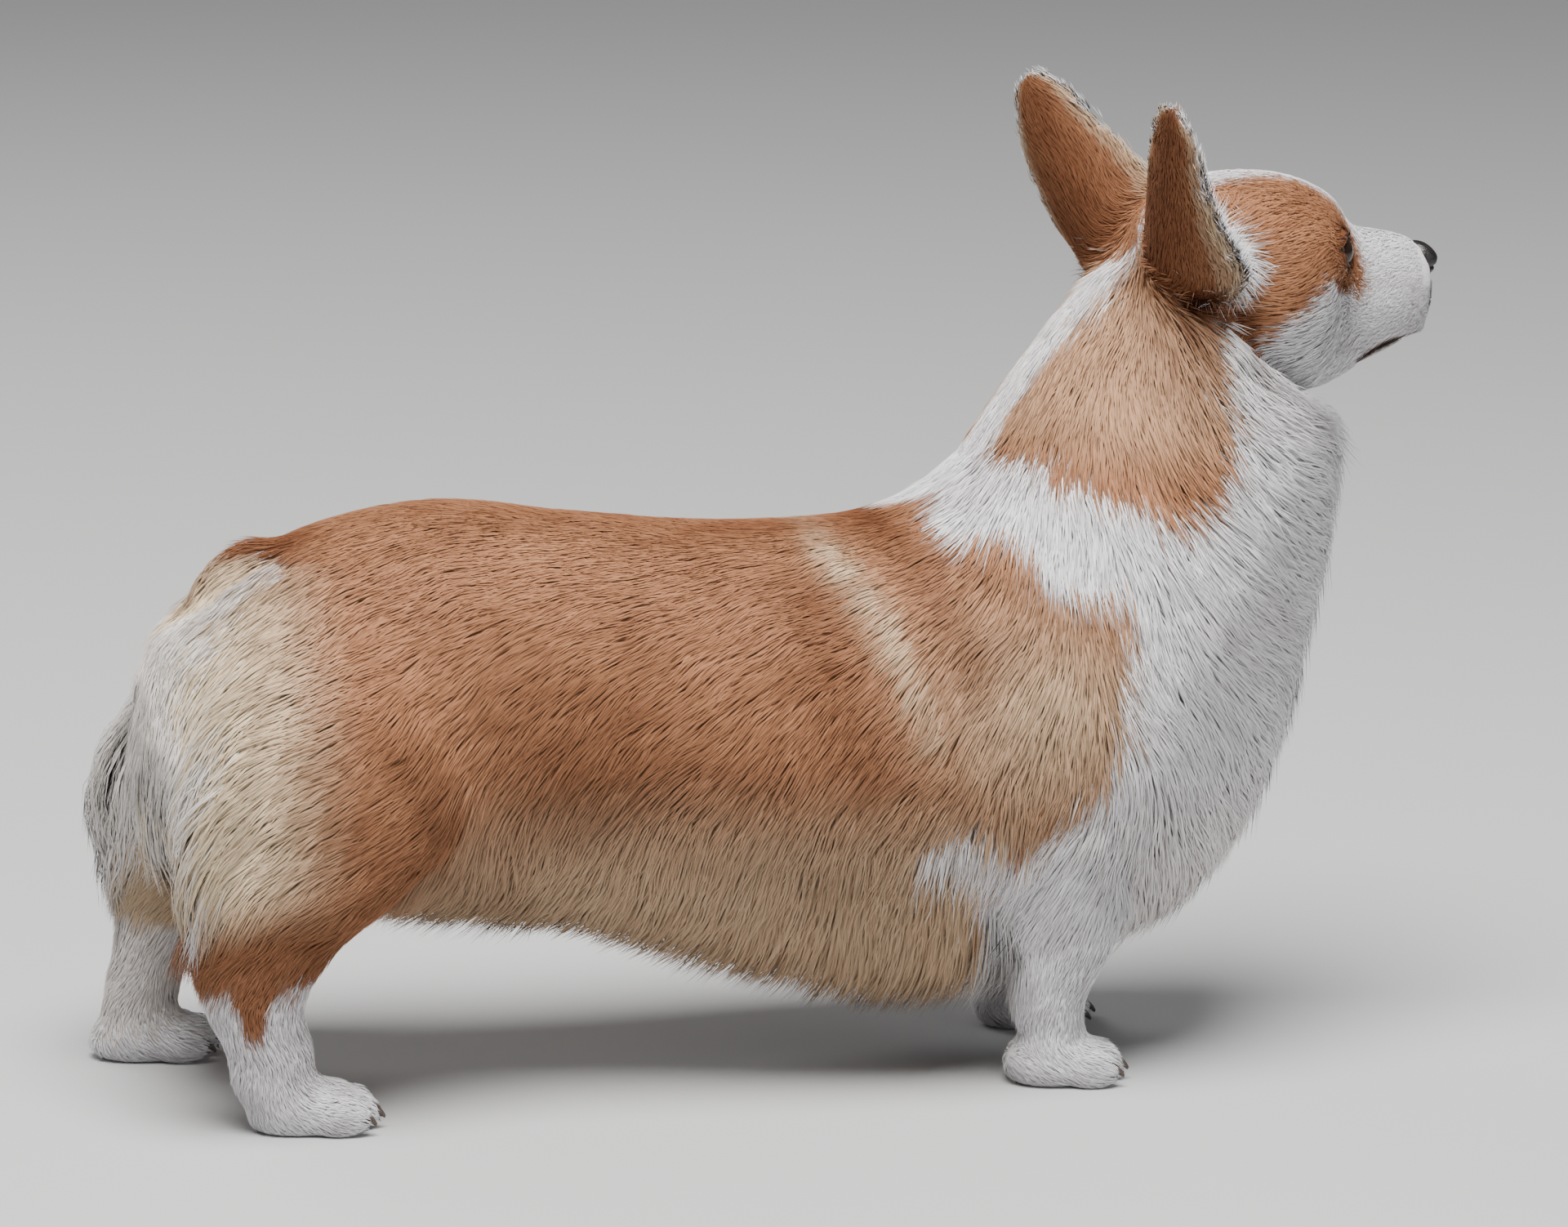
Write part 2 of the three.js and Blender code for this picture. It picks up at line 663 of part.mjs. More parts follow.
// Body: trunk and skull, dressed with the locks that clear the limbs
const core = union([trunkSolid(0), skullSolid(0)]);
const coreCutter = union([trunkSolid(GAP), skullSolid(GAP)]);
const coatLocks = union([...trunkLocks, ...cheekLocks, ...rumpLocks()].map((lock) => lockSolid(lock)));
const body = core.add(coatLocks.subtract(union(limbCutters)));
const coatCutter = union([...trunkLocks, ...cheekLocks].map((lock) => lockSolid(lock, GAP)));

// Where the head parts from the neck, in the head's frame, and the neck from the torso
const HEAD_CUT = { place: [-172, 0, 25], facing: [0.718, 0, 0.696] };
const NECK_CUT = { place: [70, 0, 285], facing: [0.277, 0, 0.961] };

// Head, with its lips, lids and sockets
function carveHead(solid) {
  const lowerJaw = mouthSlab(0, 60).subtract(skullSolid(-MOUTH.lipStep, 16, 14));
  const mouthLine = mouthSlab(MOUTH.line / 2, MOUTH.line / 2).subtract(skullSolid(-MOUTH.depth, 16, 14));
  let head = solid.subtract(union([lowerJaw, mouthLine]));
  for (const { y } of SIDES) {
    head = head.add(headSolid(eyeGeometry(y, EYE_RADIUS + LID_THICKNESS, 12, 9)));
    head = head.subtract(headSolid(eyeGeometry(y, EYE_RADIUS + GAP, 10, 7)));
    head = head.subtract(headSolid(lidOpening(y)));
  }
  return largest(head.subtract(nosePad.solid(6, 12, GAP)));
}
const headNormal = headPoint(...HEAD_CUT.facing).sub(headPoint(0, 0, 0));
const headCut = partAt(body, headPoint(...HEAD_CUT.place), headNormal);
const neckCut = partAt(headCut.behind, vec(...NECK_CUT.place), vec(...NECK_CUT.facing));

addNode("head", carveHead(headCut.ahead), COLOURS.red, FINISH.fur);
addNode("neck", neckCut.ahead, COLOURS.white, FINISH.fur);
addNode("torso", neckCut.behind, COLOURS.red, FINISH.fur);
addNode("tail", largest(tail.solid(7, 10).subtract(coreCutter)), COLOURS.red, FINISH.fur);
const nostrils = union(SIDES.map(({ y }) => nostril(y)));
addNode("nose", largest(nosePad.solid(6, 12).subtract(nostrils)), COLOURS.nose, FINISH.wet);

for (const { name, y } of SIDES) {
  addNode(`eye_${name}`, headSolid(eyeGeometry(y, EYE_RADIUS, 10, 7)), COLOURS.eye, FINISH.wet);
  const ear = earSolid(y, EAR.root[name], EAR.outward[name]).subtract(coreCutter).subtract(coatCutter);
  addNode(`ear_${name}`, largest(ear), COLOURS.red, FINISH.fur);
}

// A leg with its paw and locks, parted at the given levels from the top down.
function legPieces(limb, locks, place, size, levels) {
  const toes = toesOf(place, size);
  const claws = toes.map((toe) => clawSolid(toe));
  const sockets = union(toes.map((toe) => clawSolid(toe, GAP)));
  let rest = union([limb, pawSolid(place, size), ...locks.map((lock) => lockSolid(lock))]);
  rest = rest.intersect(blockBeyond(vec(0, 0, FLOOR_Z - GAP / 2), UP, 1)).subtract(sockets);
  rest = largest(rest.subtract(coreCutter));
  const pieces = [];
  for (const level of levels) {
    const cut = partAt(rest, vec(0, 0, level), UP);
    pieces.push(cut.ahead);
    rest = cut.behind;
  }
  return { pieces: [...pieces, rest], claws };
}

function addClaws(claws, end, name) {
  const floor = blockBeyond(vec(0, 0, FLOOR_Z - GAP / 2), UP, 1);
  claws.forEach((claw, i) => {
    addNode(`claw_${end}_${name}_${i + 1}`, claw.intersect(floor), COLOURS.claw, FINISH.horn);
  });
}

for (const { name, fore, hind, elbowLocks, thighLocks } of limbs) {
  const foreLimb = fore.solid(FORE_RINGS, LIMB_SIDES);
  const front = legPieces(foreLimb, elbowLocks, PAWS.fore[name], PAWS.fore, [WRIST_Z]);
  addNode(`foreleg_${name}`, front.pieces[0], COLOURS.white, FINISH.fur);
  addNode(`forepaw_${name}`, front.pieces[1], COLOURS.white, FINISH.fur);
  addClaws(front.claws, "fore", name);
  const hindLimb = hind.solid(HIND_RINGS, LIMB_SIDES);
  const rear = legPieces(hindLimb, thighLocks, PAWS.hind[name], PAWS.hind, [HOCK_Z, HIND_ANKLE_Z]);
  addNode(`thigh_${name}`, rear.pieces[0], COLOURS.red, FINISH.fur);
  addNode(`hock_${name}`, rear.pieces[1], COLOURS.white, FINISH.fur);
  addNode(`hindpaw_${name}`, rear.pieces[2], COLOURS.white, FINISH.fur);
  addClaws(rear.claws, "hind", name);
}

// The origin is moved to the floor, under the middle of the whole.
dog.updateMatrixWorld(true);
const box = new THREE.Box3().setFromObject(dog);
const middle = box.getCenter(vec(0, 0, 0));
dog.position.set(-middle.x, -middle.y, -box.min.z);

export default dog;
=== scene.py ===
import math

import bmesh
import bpy
import numpy as np
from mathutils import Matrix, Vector
from mathutils.kdtree import KDTree


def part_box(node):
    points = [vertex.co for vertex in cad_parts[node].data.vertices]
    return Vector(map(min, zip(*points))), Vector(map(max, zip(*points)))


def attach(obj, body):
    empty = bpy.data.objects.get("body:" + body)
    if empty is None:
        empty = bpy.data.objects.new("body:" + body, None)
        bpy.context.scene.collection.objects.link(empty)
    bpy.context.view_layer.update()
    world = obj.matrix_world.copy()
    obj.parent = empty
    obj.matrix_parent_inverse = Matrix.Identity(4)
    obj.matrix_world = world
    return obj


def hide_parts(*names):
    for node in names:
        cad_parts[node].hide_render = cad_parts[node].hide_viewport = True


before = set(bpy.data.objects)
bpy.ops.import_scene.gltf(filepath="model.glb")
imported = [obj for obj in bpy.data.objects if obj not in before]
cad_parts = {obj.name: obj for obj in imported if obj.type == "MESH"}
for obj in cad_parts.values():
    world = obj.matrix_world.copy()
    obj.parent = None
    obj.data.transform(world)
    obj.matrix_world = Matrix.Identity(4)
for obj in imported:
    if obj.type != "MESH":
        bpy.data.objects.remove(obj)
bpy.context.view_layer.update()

rng = np.random.default_rng(20)

# Driving sizes
FLOOR_Z = -6.0
VOXEL = 2.4
COAT_DENSITY = 0.86
NOSE_TIP = np.array([345.0, 50.0, 380.0])
HEAD_YAW = math.radians(17)
HEAD_DIP = math.radians(4)
EYE_RADIUS = 10.5
LID_THICKNESS = 2.1
EYE = {"x": -77.0, "y": 26.5, "z": 10.0, "outward": math.radians(40), "upward": math.radians(4)}
LID_OPENING = {"half": 9.8, "rise": 7.6, "tilt": math.radians(12)}
# The line between the lips in the head's frame: forward places and heights, corner first
MOUTH_LINE = [[-54, -47, -41, -34, -20, -8, 4], [-46, -43, -39.5, -37.3, -35.5, -34, -33]]


def turn_z(angle):
    c, s = math.cos(angle), math.sin(angle)
    return np.array([[c, -s, 0], [s, c, 0], [0, 0, 1]])


def turn_y(angle):
    c, s = math.cos(angle), math.sin(angle)
    return np.array([[c, 0, s], [0, 1, 0], [-s, 0, c]])


HEAD_TURN = turn_z(HEAD_YAW) @ turn_y(HEAD_DIP)


def from_head(points):
    return NOSE_TIP + np.asarray(points, float) @ HEAD_TURN.T


def to_head(points):
    return (points - NOSE_TIP) @ HEAD_TURN


def place_of_frame():
    """How far the model's frame lies from the animal's own, in millimetres, read from an eye."""
    low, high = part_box("eye_left")
    middle = np.array((low + high) / 2) * 1000
    return middle - from_head([EYE["x"], EYE["y"], EYE["z"]])


SHIFT = place_of_frame()


def to_model(points):
    return (points + SHIFT) / 1000


# Number helpers

def unit(vectors):
    length = np.linalg.norm(vectors, axis=-1, keepdims=True)
    return vectors / np.maximum(length, 1e-9)


def curve(rows, share):
    """Points of the smooth curve through rows of numbers, with a row at each even step of the share."""
    rows = np.asarray(rows, float)
    padded = np.vstack([2 * rows[0] - rows[1], rows, 2 * rows[-1] - rows[-2]])
    place = np.clip(share, 0, 1) * (len(rows) - 1)
    i = np.minimum(place.astype(int), len(rows) - 2)
    t = (place - i)[..., None]
    before, start, end, after = (padded[i + k] for k in range(4))
    leave, arrive = 0.5 * (end - before), 0.5 * (after - start)
    return (
        (2 * t**3 - 3 * t**2 + 1) * start
        + (t**3 - 2 * t**2 + t) * leave
        + (3 * t**2 - 2 * t**3) * end
        + (t**3 - t**2) * arrive
    )


def ramp(value, low, high):
    """0 below low, 1 above high and smooth between."""
    t = np.clip((value - low) / (high - low), 0, 1)
    return t * t * (3 - 2 * t)


def waves(points, wavelength, seed):
    """Smooth noise from about -1 to 1 at points, from a few crossing sine waves."""
    source = np.random.default_rng(seed)
    total = np.zeros(len(points))
    count = 7
    for _ in range(count):
        direction = unit(source.normal(size=3)) * 2 * math.pi / (wavelength * source.uniform(0.7, 1.5))
        total += np.sin(points @ direction + source.uniform(0, 2 * math.pi))
    return total * math.sqrt(2 / count) * 0.7


def distance_to_line(line, x, z):
    """Distance of points in the side plane from a line of straight lengths."""
    best = np.full(len(x), 1e9)
    for (ax, az), (bx, bz) in zip(line[:-1], line[1:]):
        dx, dz = bx - ax, bz - az
        t = np.clip(((x - ax) * dx + (z - az) * dz) / (dx * dx + dz * dz), 0, 1)
        best = np.minimum(best, np.hypot(x - ax - t * dx, z - az - t * dz))
    return best


def depth_in(outline, x, z):
    """How far points of the side plane lie inside a closed outline, less than nothing outside it."""
    closed = list(outline) + [outline[0]]
    inside = np.zeros(len(x), bool)
    for (ax, az), (bx, bz) in zip(closed[:-1], closed[1:]):
        if az != bz:
            crossing = ax + (z - az) * (bx - ax) / (bz - az)
            inside ^= ((az > z) != (bz > z)) & (x < crossing)
    return np.where(inside, 1, -1) * distance_to_line(closed, x, z)


def near_spot(x, z, place, width, height):
    return np.exp(-(((x - place[0]) / width) ** 2) - (((z - place[1]) / height) ** 2))


# Forms

class Form:
    """A closed skin along a share u, with sections by the angle a, and the coat that grows on it.

    A row of coat is [share, inset above, beside, below, hair length above, beside, below]."""

    def __init__(self, name, coat, rings, sides):
        self.name = name
        self.coat = np.array(coat, float)
        self.rings = rings
        self.sides = sides

    def by_side(self, first_column, u, a):
        """A value given above, beside and below, spread over the angle."""
        above, beside, below = (
            np.interp(u, self.coat[:, 0], self.coat[:, first_column + k]) for k in range(3)
        )
        c = np.cos(a)
        return np.where(c > 0, beside + (above - beside) * c**2, beside + (below - beside) * c**2)

    def inset(self, u, a):
        return self.by_side(1, u, a)

    def hair(self, u, a):
        return self.by_side(4, u, a)

    def skin(self, u, a):
        return self.point(u, a, -self.inset(u, a))

    def grid(self, rings=None, sides=None):
        u, a = np.meshgrid(
            np.linspace(0, 1, rings or self.rings),
            (np.arange(sides or self.sides) + 0.5) * 2 * math.pi / (sides or self.sides),
            indexing="ij",
        )
        return u, a

    def mesh(self):
        """Closed grid of the skin: its points by ring and side."""
        u, a = self.grid()
        return self.skin(u.ravel(), a.ravel()).reshape(*u.shape, 3)

    def slopes(self, u, a):
        step = 0.004
        ahead, behind = np.minimum(u + step, 1), np.maximum(u - step, 0)
        along = (self.skin(ahead, a) - self.skin(behind, a)) / (ahead - behind)[:, None]
        around = (self.skin(u, a + step) - self.skin(u, a - step)) / (2 * step)
        return along, around


SECTION_POWER = 0.92  # under 1, a section is a little fuller than an oval
LOW_COAT_POWER = 2.6  # how closely the long coat keeps to the low line
BACK_COAT_POWER = 1.2  # and how closely it keeps to the back of a leg


class Loft(Form):
    """Sections between an upper and a lower line, with a half width beside them.

    Each station is [top x, top z, low x, low z, half, side y, widest, long coat]. The hair lies
    towards the start of the length where lie is -1, and towards its end where lie is 1."""

    def __init__(
        self, name, stations, coat, rings, sides, in_head=False, slant=((0, 0, 0, 0),) * 2, lie=-1
    ):
        super().__init__(name, coat, rings, sides)
        self.lie = lie
        s = np.array([list(row) + [0] * (8 - len(row)) for row in stations], float)
        self.top = s[:, [0, 5, 1]]
        self.low = s[:, [2, 5, 3]]
        self.width = s[:, [4, 6, 7]]
        self.in_head = in_head
        self.slant = np.array(slant, float)

    def point(self, u, a, grow=0.0):
        top, low = curve(self.top, u), curve(self.low, u)
        half, widest, _ = curve(self.width, u).T
        rise = (top - low) / 2
        height = np.linalg.norm(rise, axis=1)
        sine = np.sin(a)
        up = (height + grow) * np.cos(a) + height * widest * sine**2
        side = np.sign(sine) * np.abs(sine) ** SECTION_POWER * (half + grow)
        points = (top + low) / 2 + unit(rise) * up[:, None]
        points[:, 1] += side
        return from_head(points) if self.in_head else points

    def reach(self, u, a):
        """How far the longest tips stand off the skin."""
        long = np.maximum(curve(self.width, u)[:, 2], 0)
        return self.inset(u, a) + long * ((1 - np.cos(a)) / 2) ** LOW_COAT_POWER

    def flow(self, u, a):
        """The lie of the hair: along the form, turned towards the low line by the slant.

        A row of slant is [share, turn at 45, 90 and 135 degrees from the top]."""
        along, around = self.slopes(u, a)
        upper, level, lower = (np.interp(u, self.slant[:, 0], self.slant[:, k]) for k in (1, 2, 3))
        from_top = np.minimum(a, 2 * np.pi - a) / (np.pi / 4)
        turn = np.select(
            [from_top < 1, from_top < 2, from_top < 3],
            [
                upper * from_top,
                upper + (level - upper) * (from_top - 1),
                level + (lower - level) * (from_top - 2),
            ],
            lower * np.sqrt(np.maximum(4 - from_top, 0)),
        )
        turn = np.radians(turn)
        down = np.sign(np.sin(a))[:, None] * unit(around)
        return unit(self.lie * unit(along) * np.cos(turn)[:, None] + down * np.sin(turn)[:, None])


class Limb(Form):
    """Level ovals on a path. Each station is [x, y, z, fore, side, long coat]."""

    def __init__(self, name, stations, coat, rings, sides, back_lie):
        super().__init__(name, coat, rings, sides)
        s = np.array([list(row) + [0] * (6 - len(row)) for row in stations], float)
        self.path = s[:, :3]
        self.size = s[:, 3:]
        self.back_lie = back_lie

    def point(self, u, a, grow=0.0):
        fore, side, _ = curve(self.size, u).T
        offset = np.stack([(fore + grow) * np.cos(a), (side + grow) * np.sin(a), 0 * a], 1)
        return curve(self.path, u) + offset

    def reach(self, u, a):
        long = np.maximum(curve(self.size, u)[:, 2], 0)
        return self.inset(u, a) + long * np.maximum(-np.cos(a), 0) ** BACK_COAT_POWER

    def flow(self, u, a):
        """The lie of the hair: down the leg, turned backwards high on it."""
        along, _ = self.slopes(u, a)
        back = np.interp(u, [0, 0.3, 0.6, 1], self.back_lie)
        backward = np.array([-1.0, 0, 0])
        return unit(unit(along) * (1 - back)[:, None] + backward * back[:, None])


TRUNK = [
    [-316, 220, -322, 158, 26, 0, 0, 5],
    [-302, 240, -314, 126, 52, 0, 0, 7],
    [-281, 254, -292, 106, 68, 0, 0, 8],
    [-238, 277, -240, 98, 79, 0, 0, 8],
    [-176, 288, -180, 98, 84, 0, 0.02, 16],
    [-108, 280, -112, 99, 82, 0, 0.02, 27],
    [-50, 273, -50, 87, 87, 0, 0, 34],
    [0, 271, 8, 76, 92, 0, 0, 41],
    [34, 273, 75, 67, 95, 0, 0, 45],
    [60, 280, 140, 66, 97, 0, 0, 34],
    [79, 291, 194, 82, 98, 0, 0, 17],
    [92, 304, 228, 118, 95, 0, 0, 11],
    [103, 320, 245, 162, 90, 1, 0, 12],
    [116, 338, 256, 206, 84, 2, 0, 13],
    [129, 354, 263, 246, 77, 4, 0, 18],
    [141, 368, 267, 284, 70, 7, 0, 22],
    [157, 384, 262, 314, 60, 11, 0, 24],
    [173, 397, 250, 340, 50, 14, 0, 18],
    [188, 408, 240, 356, 40, 18, 0, 0],
]
TRUNK_COAT = [
    [0.00, 5, 5, 5, 26, 36, 46],
    [0.17, 4, 4, 4, 20, 30, 42],
    [0.33, 3.5, 3.5, 4, 20, 28, 52],
    [0.50, 3.5, 4, 5, 22, 30, 58],
    [0.62, 4.5, 5, 6, 26, 34, 54],
    [0.80, 4.5, 5, 6, 26, 32, 48],
    [1.00, 3.5, 4, 5, 16, 20, 26],
]
SKULL = [
    [-170, 26, -170, -24, 20, 0, 0],
    [-158, 39, -156, -44, 35, 0, 0],
    [-137, 46, -134, -59, 47, 0, -0.05],
    [-114, 48, -110, -67, 56, 0, -0.06],
    [-94, 46.5, -90, -67, 53, 0, -0.06],
    [-78, 42, -76, -65, 43.5, 0, -0.08],
    [-67, 36, -66, -62, 35, 0, -0.2],
    [-58, 26, -57, -57, 30.5, 0, -0.26],
    [-49, 20, -48, -53, 27.5, 0, -0.26],
    [-36, 18, -36, -49, 24.5, 0, -0.24],
    [-22, 15.5, -25, -44.5, 22, 0, -0.2],
    [-11, 11.5, -16, -40.5, 18.5, 0, -0.15],
    [-5.5, 6, -9, -36, 14.5, 0, -0.1],
    [-3, -7, -5, -28, 8, 0, 0],
]
SKULL_COAT = [
    [0.00, 3, 4, 5, 12, 20, 24],
    [0.23, 2.5, 4, 5, 9, 16, 20],
    [0.38, 2, 3, 4, 8, 10, 14],
    [0.50, 1.8, 2, 2.6, 7, 7, 9],
    [0.65, 1.5, 1.6, 1.8, 5.4, 6, 6.4],
    [1.00, 1, 1.1, 1.2, 4, 4.4, 4.6],
]
TAIL = [
    [-246, 276, -250, 246, 10, 0, 0],
    [-262, 275, -268, 240, 13.5, 0, 0],
    [-278, 269, -284, 234, 14, 0, 0],
    [-291, 258, -293, 228, 12, 0, 0],
    [-299, 246, -297, 230, 7, 0, 0],
]
TAIL_COAT = [[0, 3, 3, 3, 20, 20, 22], [1, 3, 3, 3, 22, 24, 26]]
NOSE = [
    [-14, 8.5, -13, -7, 6.8, 0, 0],
    [-10.5, 11, -11, -8, 9.4, 0, 0],
    [-6, 10.6, -7, -8, 10.4, 0, 0.1],
    [-2, 8, -3, -6.5, 9.5, 0, 0.1],
    [0.5, 4, -0.5, -3, 5.8, 0, 0.1],
]
FORELEGS = {
    "left": [
        [130, 60, 150, 50, 30],
        [123, 62, 112, 42, 27],
        [130, 59, 86, 34, 24],
        [133, 56, 64, 26, 20],
        [129, 52, 38, 20, 17.5],
        [131, 50, 21, 18, 17],
        [134, 49, 6, 18, 17],
    ],
    "right": [
        [130, -62, 150, 50, 30],
        [120, -66, 112, 42, 27],
        [127, -66, 86, 34, 24],
        [128, -65, 64, 27, 20],
        [121, -63, 38, 20.5, 17.5],
        [122, -62, 21, 18, 17],
        [125, -62, 6, 18, 17],
    ],
}
FORELEG_COAT = [
    [0.00, 4, 4, 5, 24, 28, 44],
    [0.30, 4, 4, 5, 20, 20, 44],
    [0.55, 3, 3, 4, 13, 13, 24],
    [1.00, 2, 2, 2, 9, 9, 10],
]
HINDLEGS = {
    "left": [
        [-222, 40, 238, 34, 26, 0],
        [-232, 58, 205, 62, 38, 7],
        [-245, 68, 170, 76, 37, 11],
        [-256, 74, 138, 77, 33, 13],
        [-274, 78, 110, 56, 28, 9],
        [-292, 78, 86, 34, 20, 3],
        [-305, 78, 58, 22, 17, 0],
        [-312, 78, 34, 20, 16, 0],
        [-316, 78, 10, 21, 17, 0],
    ],
    "right": [
        [-222, -40, 238, 34, 26, 0],
        [-228, -58, 205, 58, 38, 7],
        [-237, -68, 170, 70, 37, 10],
        [-244, -74, 138, 68, 33, 11],
        [-257, -79, 110, 52, 28, 8],
        [-272, -78, 86, 37, 20, 3],
        [-278, -76, 58, 26, 17, 0],
        [-271, -75, 34, 22.5, 16, 0],
        [-267, -75, 10, 22, 17, 0],
    ],
}
HINDLEG_COAT = [
    [0.00, 4, 4, 5, 26, 30, 44],
    [0.35, 4, 4, 5, 24, 30, 48],
    [0.50, 4, 4, 5, 20, 24, 40],
    [0.65, 3, 3, 3.5, 13, 13, 18],
    [1.00, 2, 2, 2, 9, 9, 9],
]
PAWS = {
    "fore": {"left": (138, 49), "right": (127, -62), "length": 30, "width": 24},
    "hind": {"left": (-309, 78), "right": (-252, -74), "length": 33, "width": 23},
}
PAW_COAT = [[0, 2, 2, 2, 8, 8, 8], [1, 2, 2, 2, 8, 8, 8]]
PAW_BALL = {"behind": 3, "rise": 11, "length": 0.9, "width": 0.92, "height": 17}
PAW_LIE = [1.0, 0, -0.45]
TOES = 4
# Of the middle toes and of the outer ones: the share of the paw ahead of its middle, and the half height
TOE_AHEAD = {True: 0.52, False: 0.34}
TOE_HEIGHT = {True: 12.5, False: 11.5}
TOE_SIZE = {"apart": 0.5, "length": 0.5, "width": 0.32, "rise": 9.5, "turn": 9}
SIDES = {"left": 1, "right": -1}


class Paw(Form):
    """The pad of a paw: a flattened ball, with u from its top down."""

    def __init__(self, name, place, size):
        super().__init__(name, PAW_COAT, 16, 24)
        self.centre = np.array([place[0] - PAW_BALL["behind"], place[1], FLOOR_Z + PAW_BALL["rise"]])
        length, width = size["length"] * PAW_BALL["length"], size["width"] * PAW_BALL["width"]
        self.halves = np.array([length, width, PAW_BALL["height"]])

    def point(self, u, a, grow=0.0):
        down = np.pi * np.clip(u, 0.02, 0.98)
        ball = np.stack([np.sin(down) * np.cos(a), np.sin(down) * np.sin(a), np.cos(down)], 1)
        return self.centre + ball * (self.halves + np.reshape(grow, (-1, 1)))

    def reach(self, u, a):
        return self.inset(u, a)

    def flow(self, u, a):
        return np.tile(unit(np.array(PAW_LIE)), (len(u), 1))


def toes_of(place, size):
    """The toes of a paw: centres, half sizes and turns, spread round its front."""
    toes = []
    for i in range(TOES):
        across = i - (TOES - 1) / 2
        middle = abs(across) < 1
        x = place[0] + size["length"] * TOE_AHEAD[middle]
        y = place[1] + across * size["width"] * TOE_SIZE["apart"]
        length, width = size["length"] * TOE_SIZE["length"], size["width"] * TOE_SIZE["width"]
        toes.append({
            "centre": np.array([x, y, FLOOR_Z + TOE_SIZE["rise"]]),
            "halves": np.array([length, width, TOE_HEIGHT[middle]]),
            "turn": math.radians(across * TOE_SIZE["turn"]),
        })
    return toes


def all_toes():
    return [toe for end in PAWS for side in SIDES for toe in toes_of(PAWS[end][side], PAWS[end])]


EAR_ROOT = {"left": (-172, 30, 6), "right": (-180, 28, 6)}
EAR_OUTWARD = {"left": math.radians(28), "right": math.radians(-9)}
EAR_TIP = np.array([-203.0, 68, 84])
EAR_BEND = np.array([-2.0, 3, 2])
# Each section is [share of the height, half width, half angle of the cup in degrees, thickness].
EAR_SECTIONS = [
    [-0.2, 28, 100, 6],
    [0, 31, 92, 5.5],
    [0.15, 32, 76, 4.6],
    [0.3, 30, 60, 4],
    [0.5, 26, 46, 3.6],
    [0.7, 21, 36, 3.2],
    [0.85, 16.5, 30, 2.8],
    [0.95, 11.5, 26, 2.3],
    [1, 6, 22, 1.7],
]
LEAST_EAR = 3.4  # thinnest that an ear's skin is made, so that it stays whole
# The hair inside an ear: [share of the height, length, reach]
INNER_EAR_HAIR = [[0, 26, 11], [0.35, 24, 10], [0.6, 17, 7], [1, 8, 2.5]]
OUTER_EAR_HAIR = {"at root": 12, "shorter at tip": 5, "reach": 2.2}
OUT_OF_CUP = 0.9  # how far the hair inside leans out of the cup


def inner_ear(column, u):
    rows = np.array(INNER_EAR_HAIR)
    return np.interp(u, rows[:, 0], rows[:, column])


class Ear(Form):
    """A cupped leaf. u runs up it, and a runs round its section: out over the back and in again."""

    def __init__(self, name, side):
        super().__init__(name, [[0, 0, 0, 0, 9, 9, 9]] * 2, 60, 48)
        self.side = SIDES[side]
        self.root = np.array(EAR_ROOT[side], float)
        self.axis = EAR_TIP - self.root
        straight = unit(self.axis)
        face = np.array([math.cos(EAR_OUTWARD[side]), math.sin(EAR_OUTWARD[side]), 0])
        self.face = unit(face - straight * (face @ straight))
        self.across = np.cross(straight, self.face)

    def point(self, u, a, grow=0.0):
        share, half, cup, thick = curve(EAR_SECTIONS, u).T
        cup = np.radians(cup)
        radius = half / np.sin(np.minimum(cup, math.pi / 2))
        back = self.root + self.axis * share[:, None]
        back += EAR_BEND * (4 * share * (1 - share))[:, None]
        hub = back + self.face * radius[:, None]
        # The first half turn lies on the back of the ear and the second inside it.
        turn_share = np.where(a < np.pi, a / np.pi, 2 - a / np.pi) * 2 - 1
        turn = cup * turn_share
        depth = np.maximum(thick, LEAST_EAR) * (1 - 0.5 * turn_share**2)
        reach = radius - np.where(a < np.pi, 0, depth)
        points = hub + self.face * (-reach * np.cos(turn))[:, None]
        points += self.across * (reach * np.sin(turn))[:, None]
        points[:, 1] *= self.side
        return from_head(points)

    def hair(self, u, a):
        outer = OUTER_EAR_HAIR["at root"] - OUTER_EAR_HAIR["shorter at tip"] * u
        return np.where(a > np.pi, inner_ear(1, u), outer)

    def reach(self, u, a):
        return np.where(a > np.pi, inner_ear(2, u), OUTER_EAR_HAIR["reach"])

    def flow(self, u, a):
        """Up the leaf, and on the inside also out of the cup."""
        along, _ = self.slopes(u, a)
        out = self.face * np.array([1, self.side, 1]) @ HEAD_TURN.T
        inner = (a > np.pi)[:, None]
        return unit(unit(along) + np.where(inner, OUT_OF_CUP, 0.0) * out)


def named_limbs(kind, stations, coat, rings, back_lie):
    return [Limb(f"{kind}_{side}", stations[side], coat, rings, 28, back_lie) for side in SIDES]


TRUNK_SLANT = [
    [0, 14, 30, 50],
    [0.3, 26, 40, 78],
    [0.5, 26, 42, 80],
    [0.56, 26, 56, 88],
    [0.62, 26, 84, 98],
    [0.72, 24, 84, 102],
    [0.82, 20, 74, 96],
    [1, 14, 54, 84],
]
SKULL_SLANT = [[0, 5, 14, 30], [1, 5, 12, 20]]
trunk = Loft("trunk", TRUNK, TRUNK_COAT, 150, 72, slant=TRUNK_SLANT)
skull = Loft("skull", SKULL, SKULL_COAT, 110, 80, in_head=True, slant=SKULL_SLANT)
forms = [
    trunk,
    skull,
    Loft("tail", TAIL, TAIL_COAT, 24, 20, lie=1),
    *named_limbs("foreleg", FORELEGS, FORELEG_COAT, 44, [0.55, 0.45, 0.1, 0]),
    *named_limbs("hindleg", HINDLEGS, HINDLEG_COAT, 64, [0.8, 0.6, 0.3, 0]),
    *[Paw(f"paw_{end}_{side}", PAWS[end][side], PAWS[end]) for end in PAWS for side in SIDES],
    *[Ear(f"ear_{side}", side) for side in SIDES],
]
FORM = {form.name: i for i, form in enumerate(forms)}


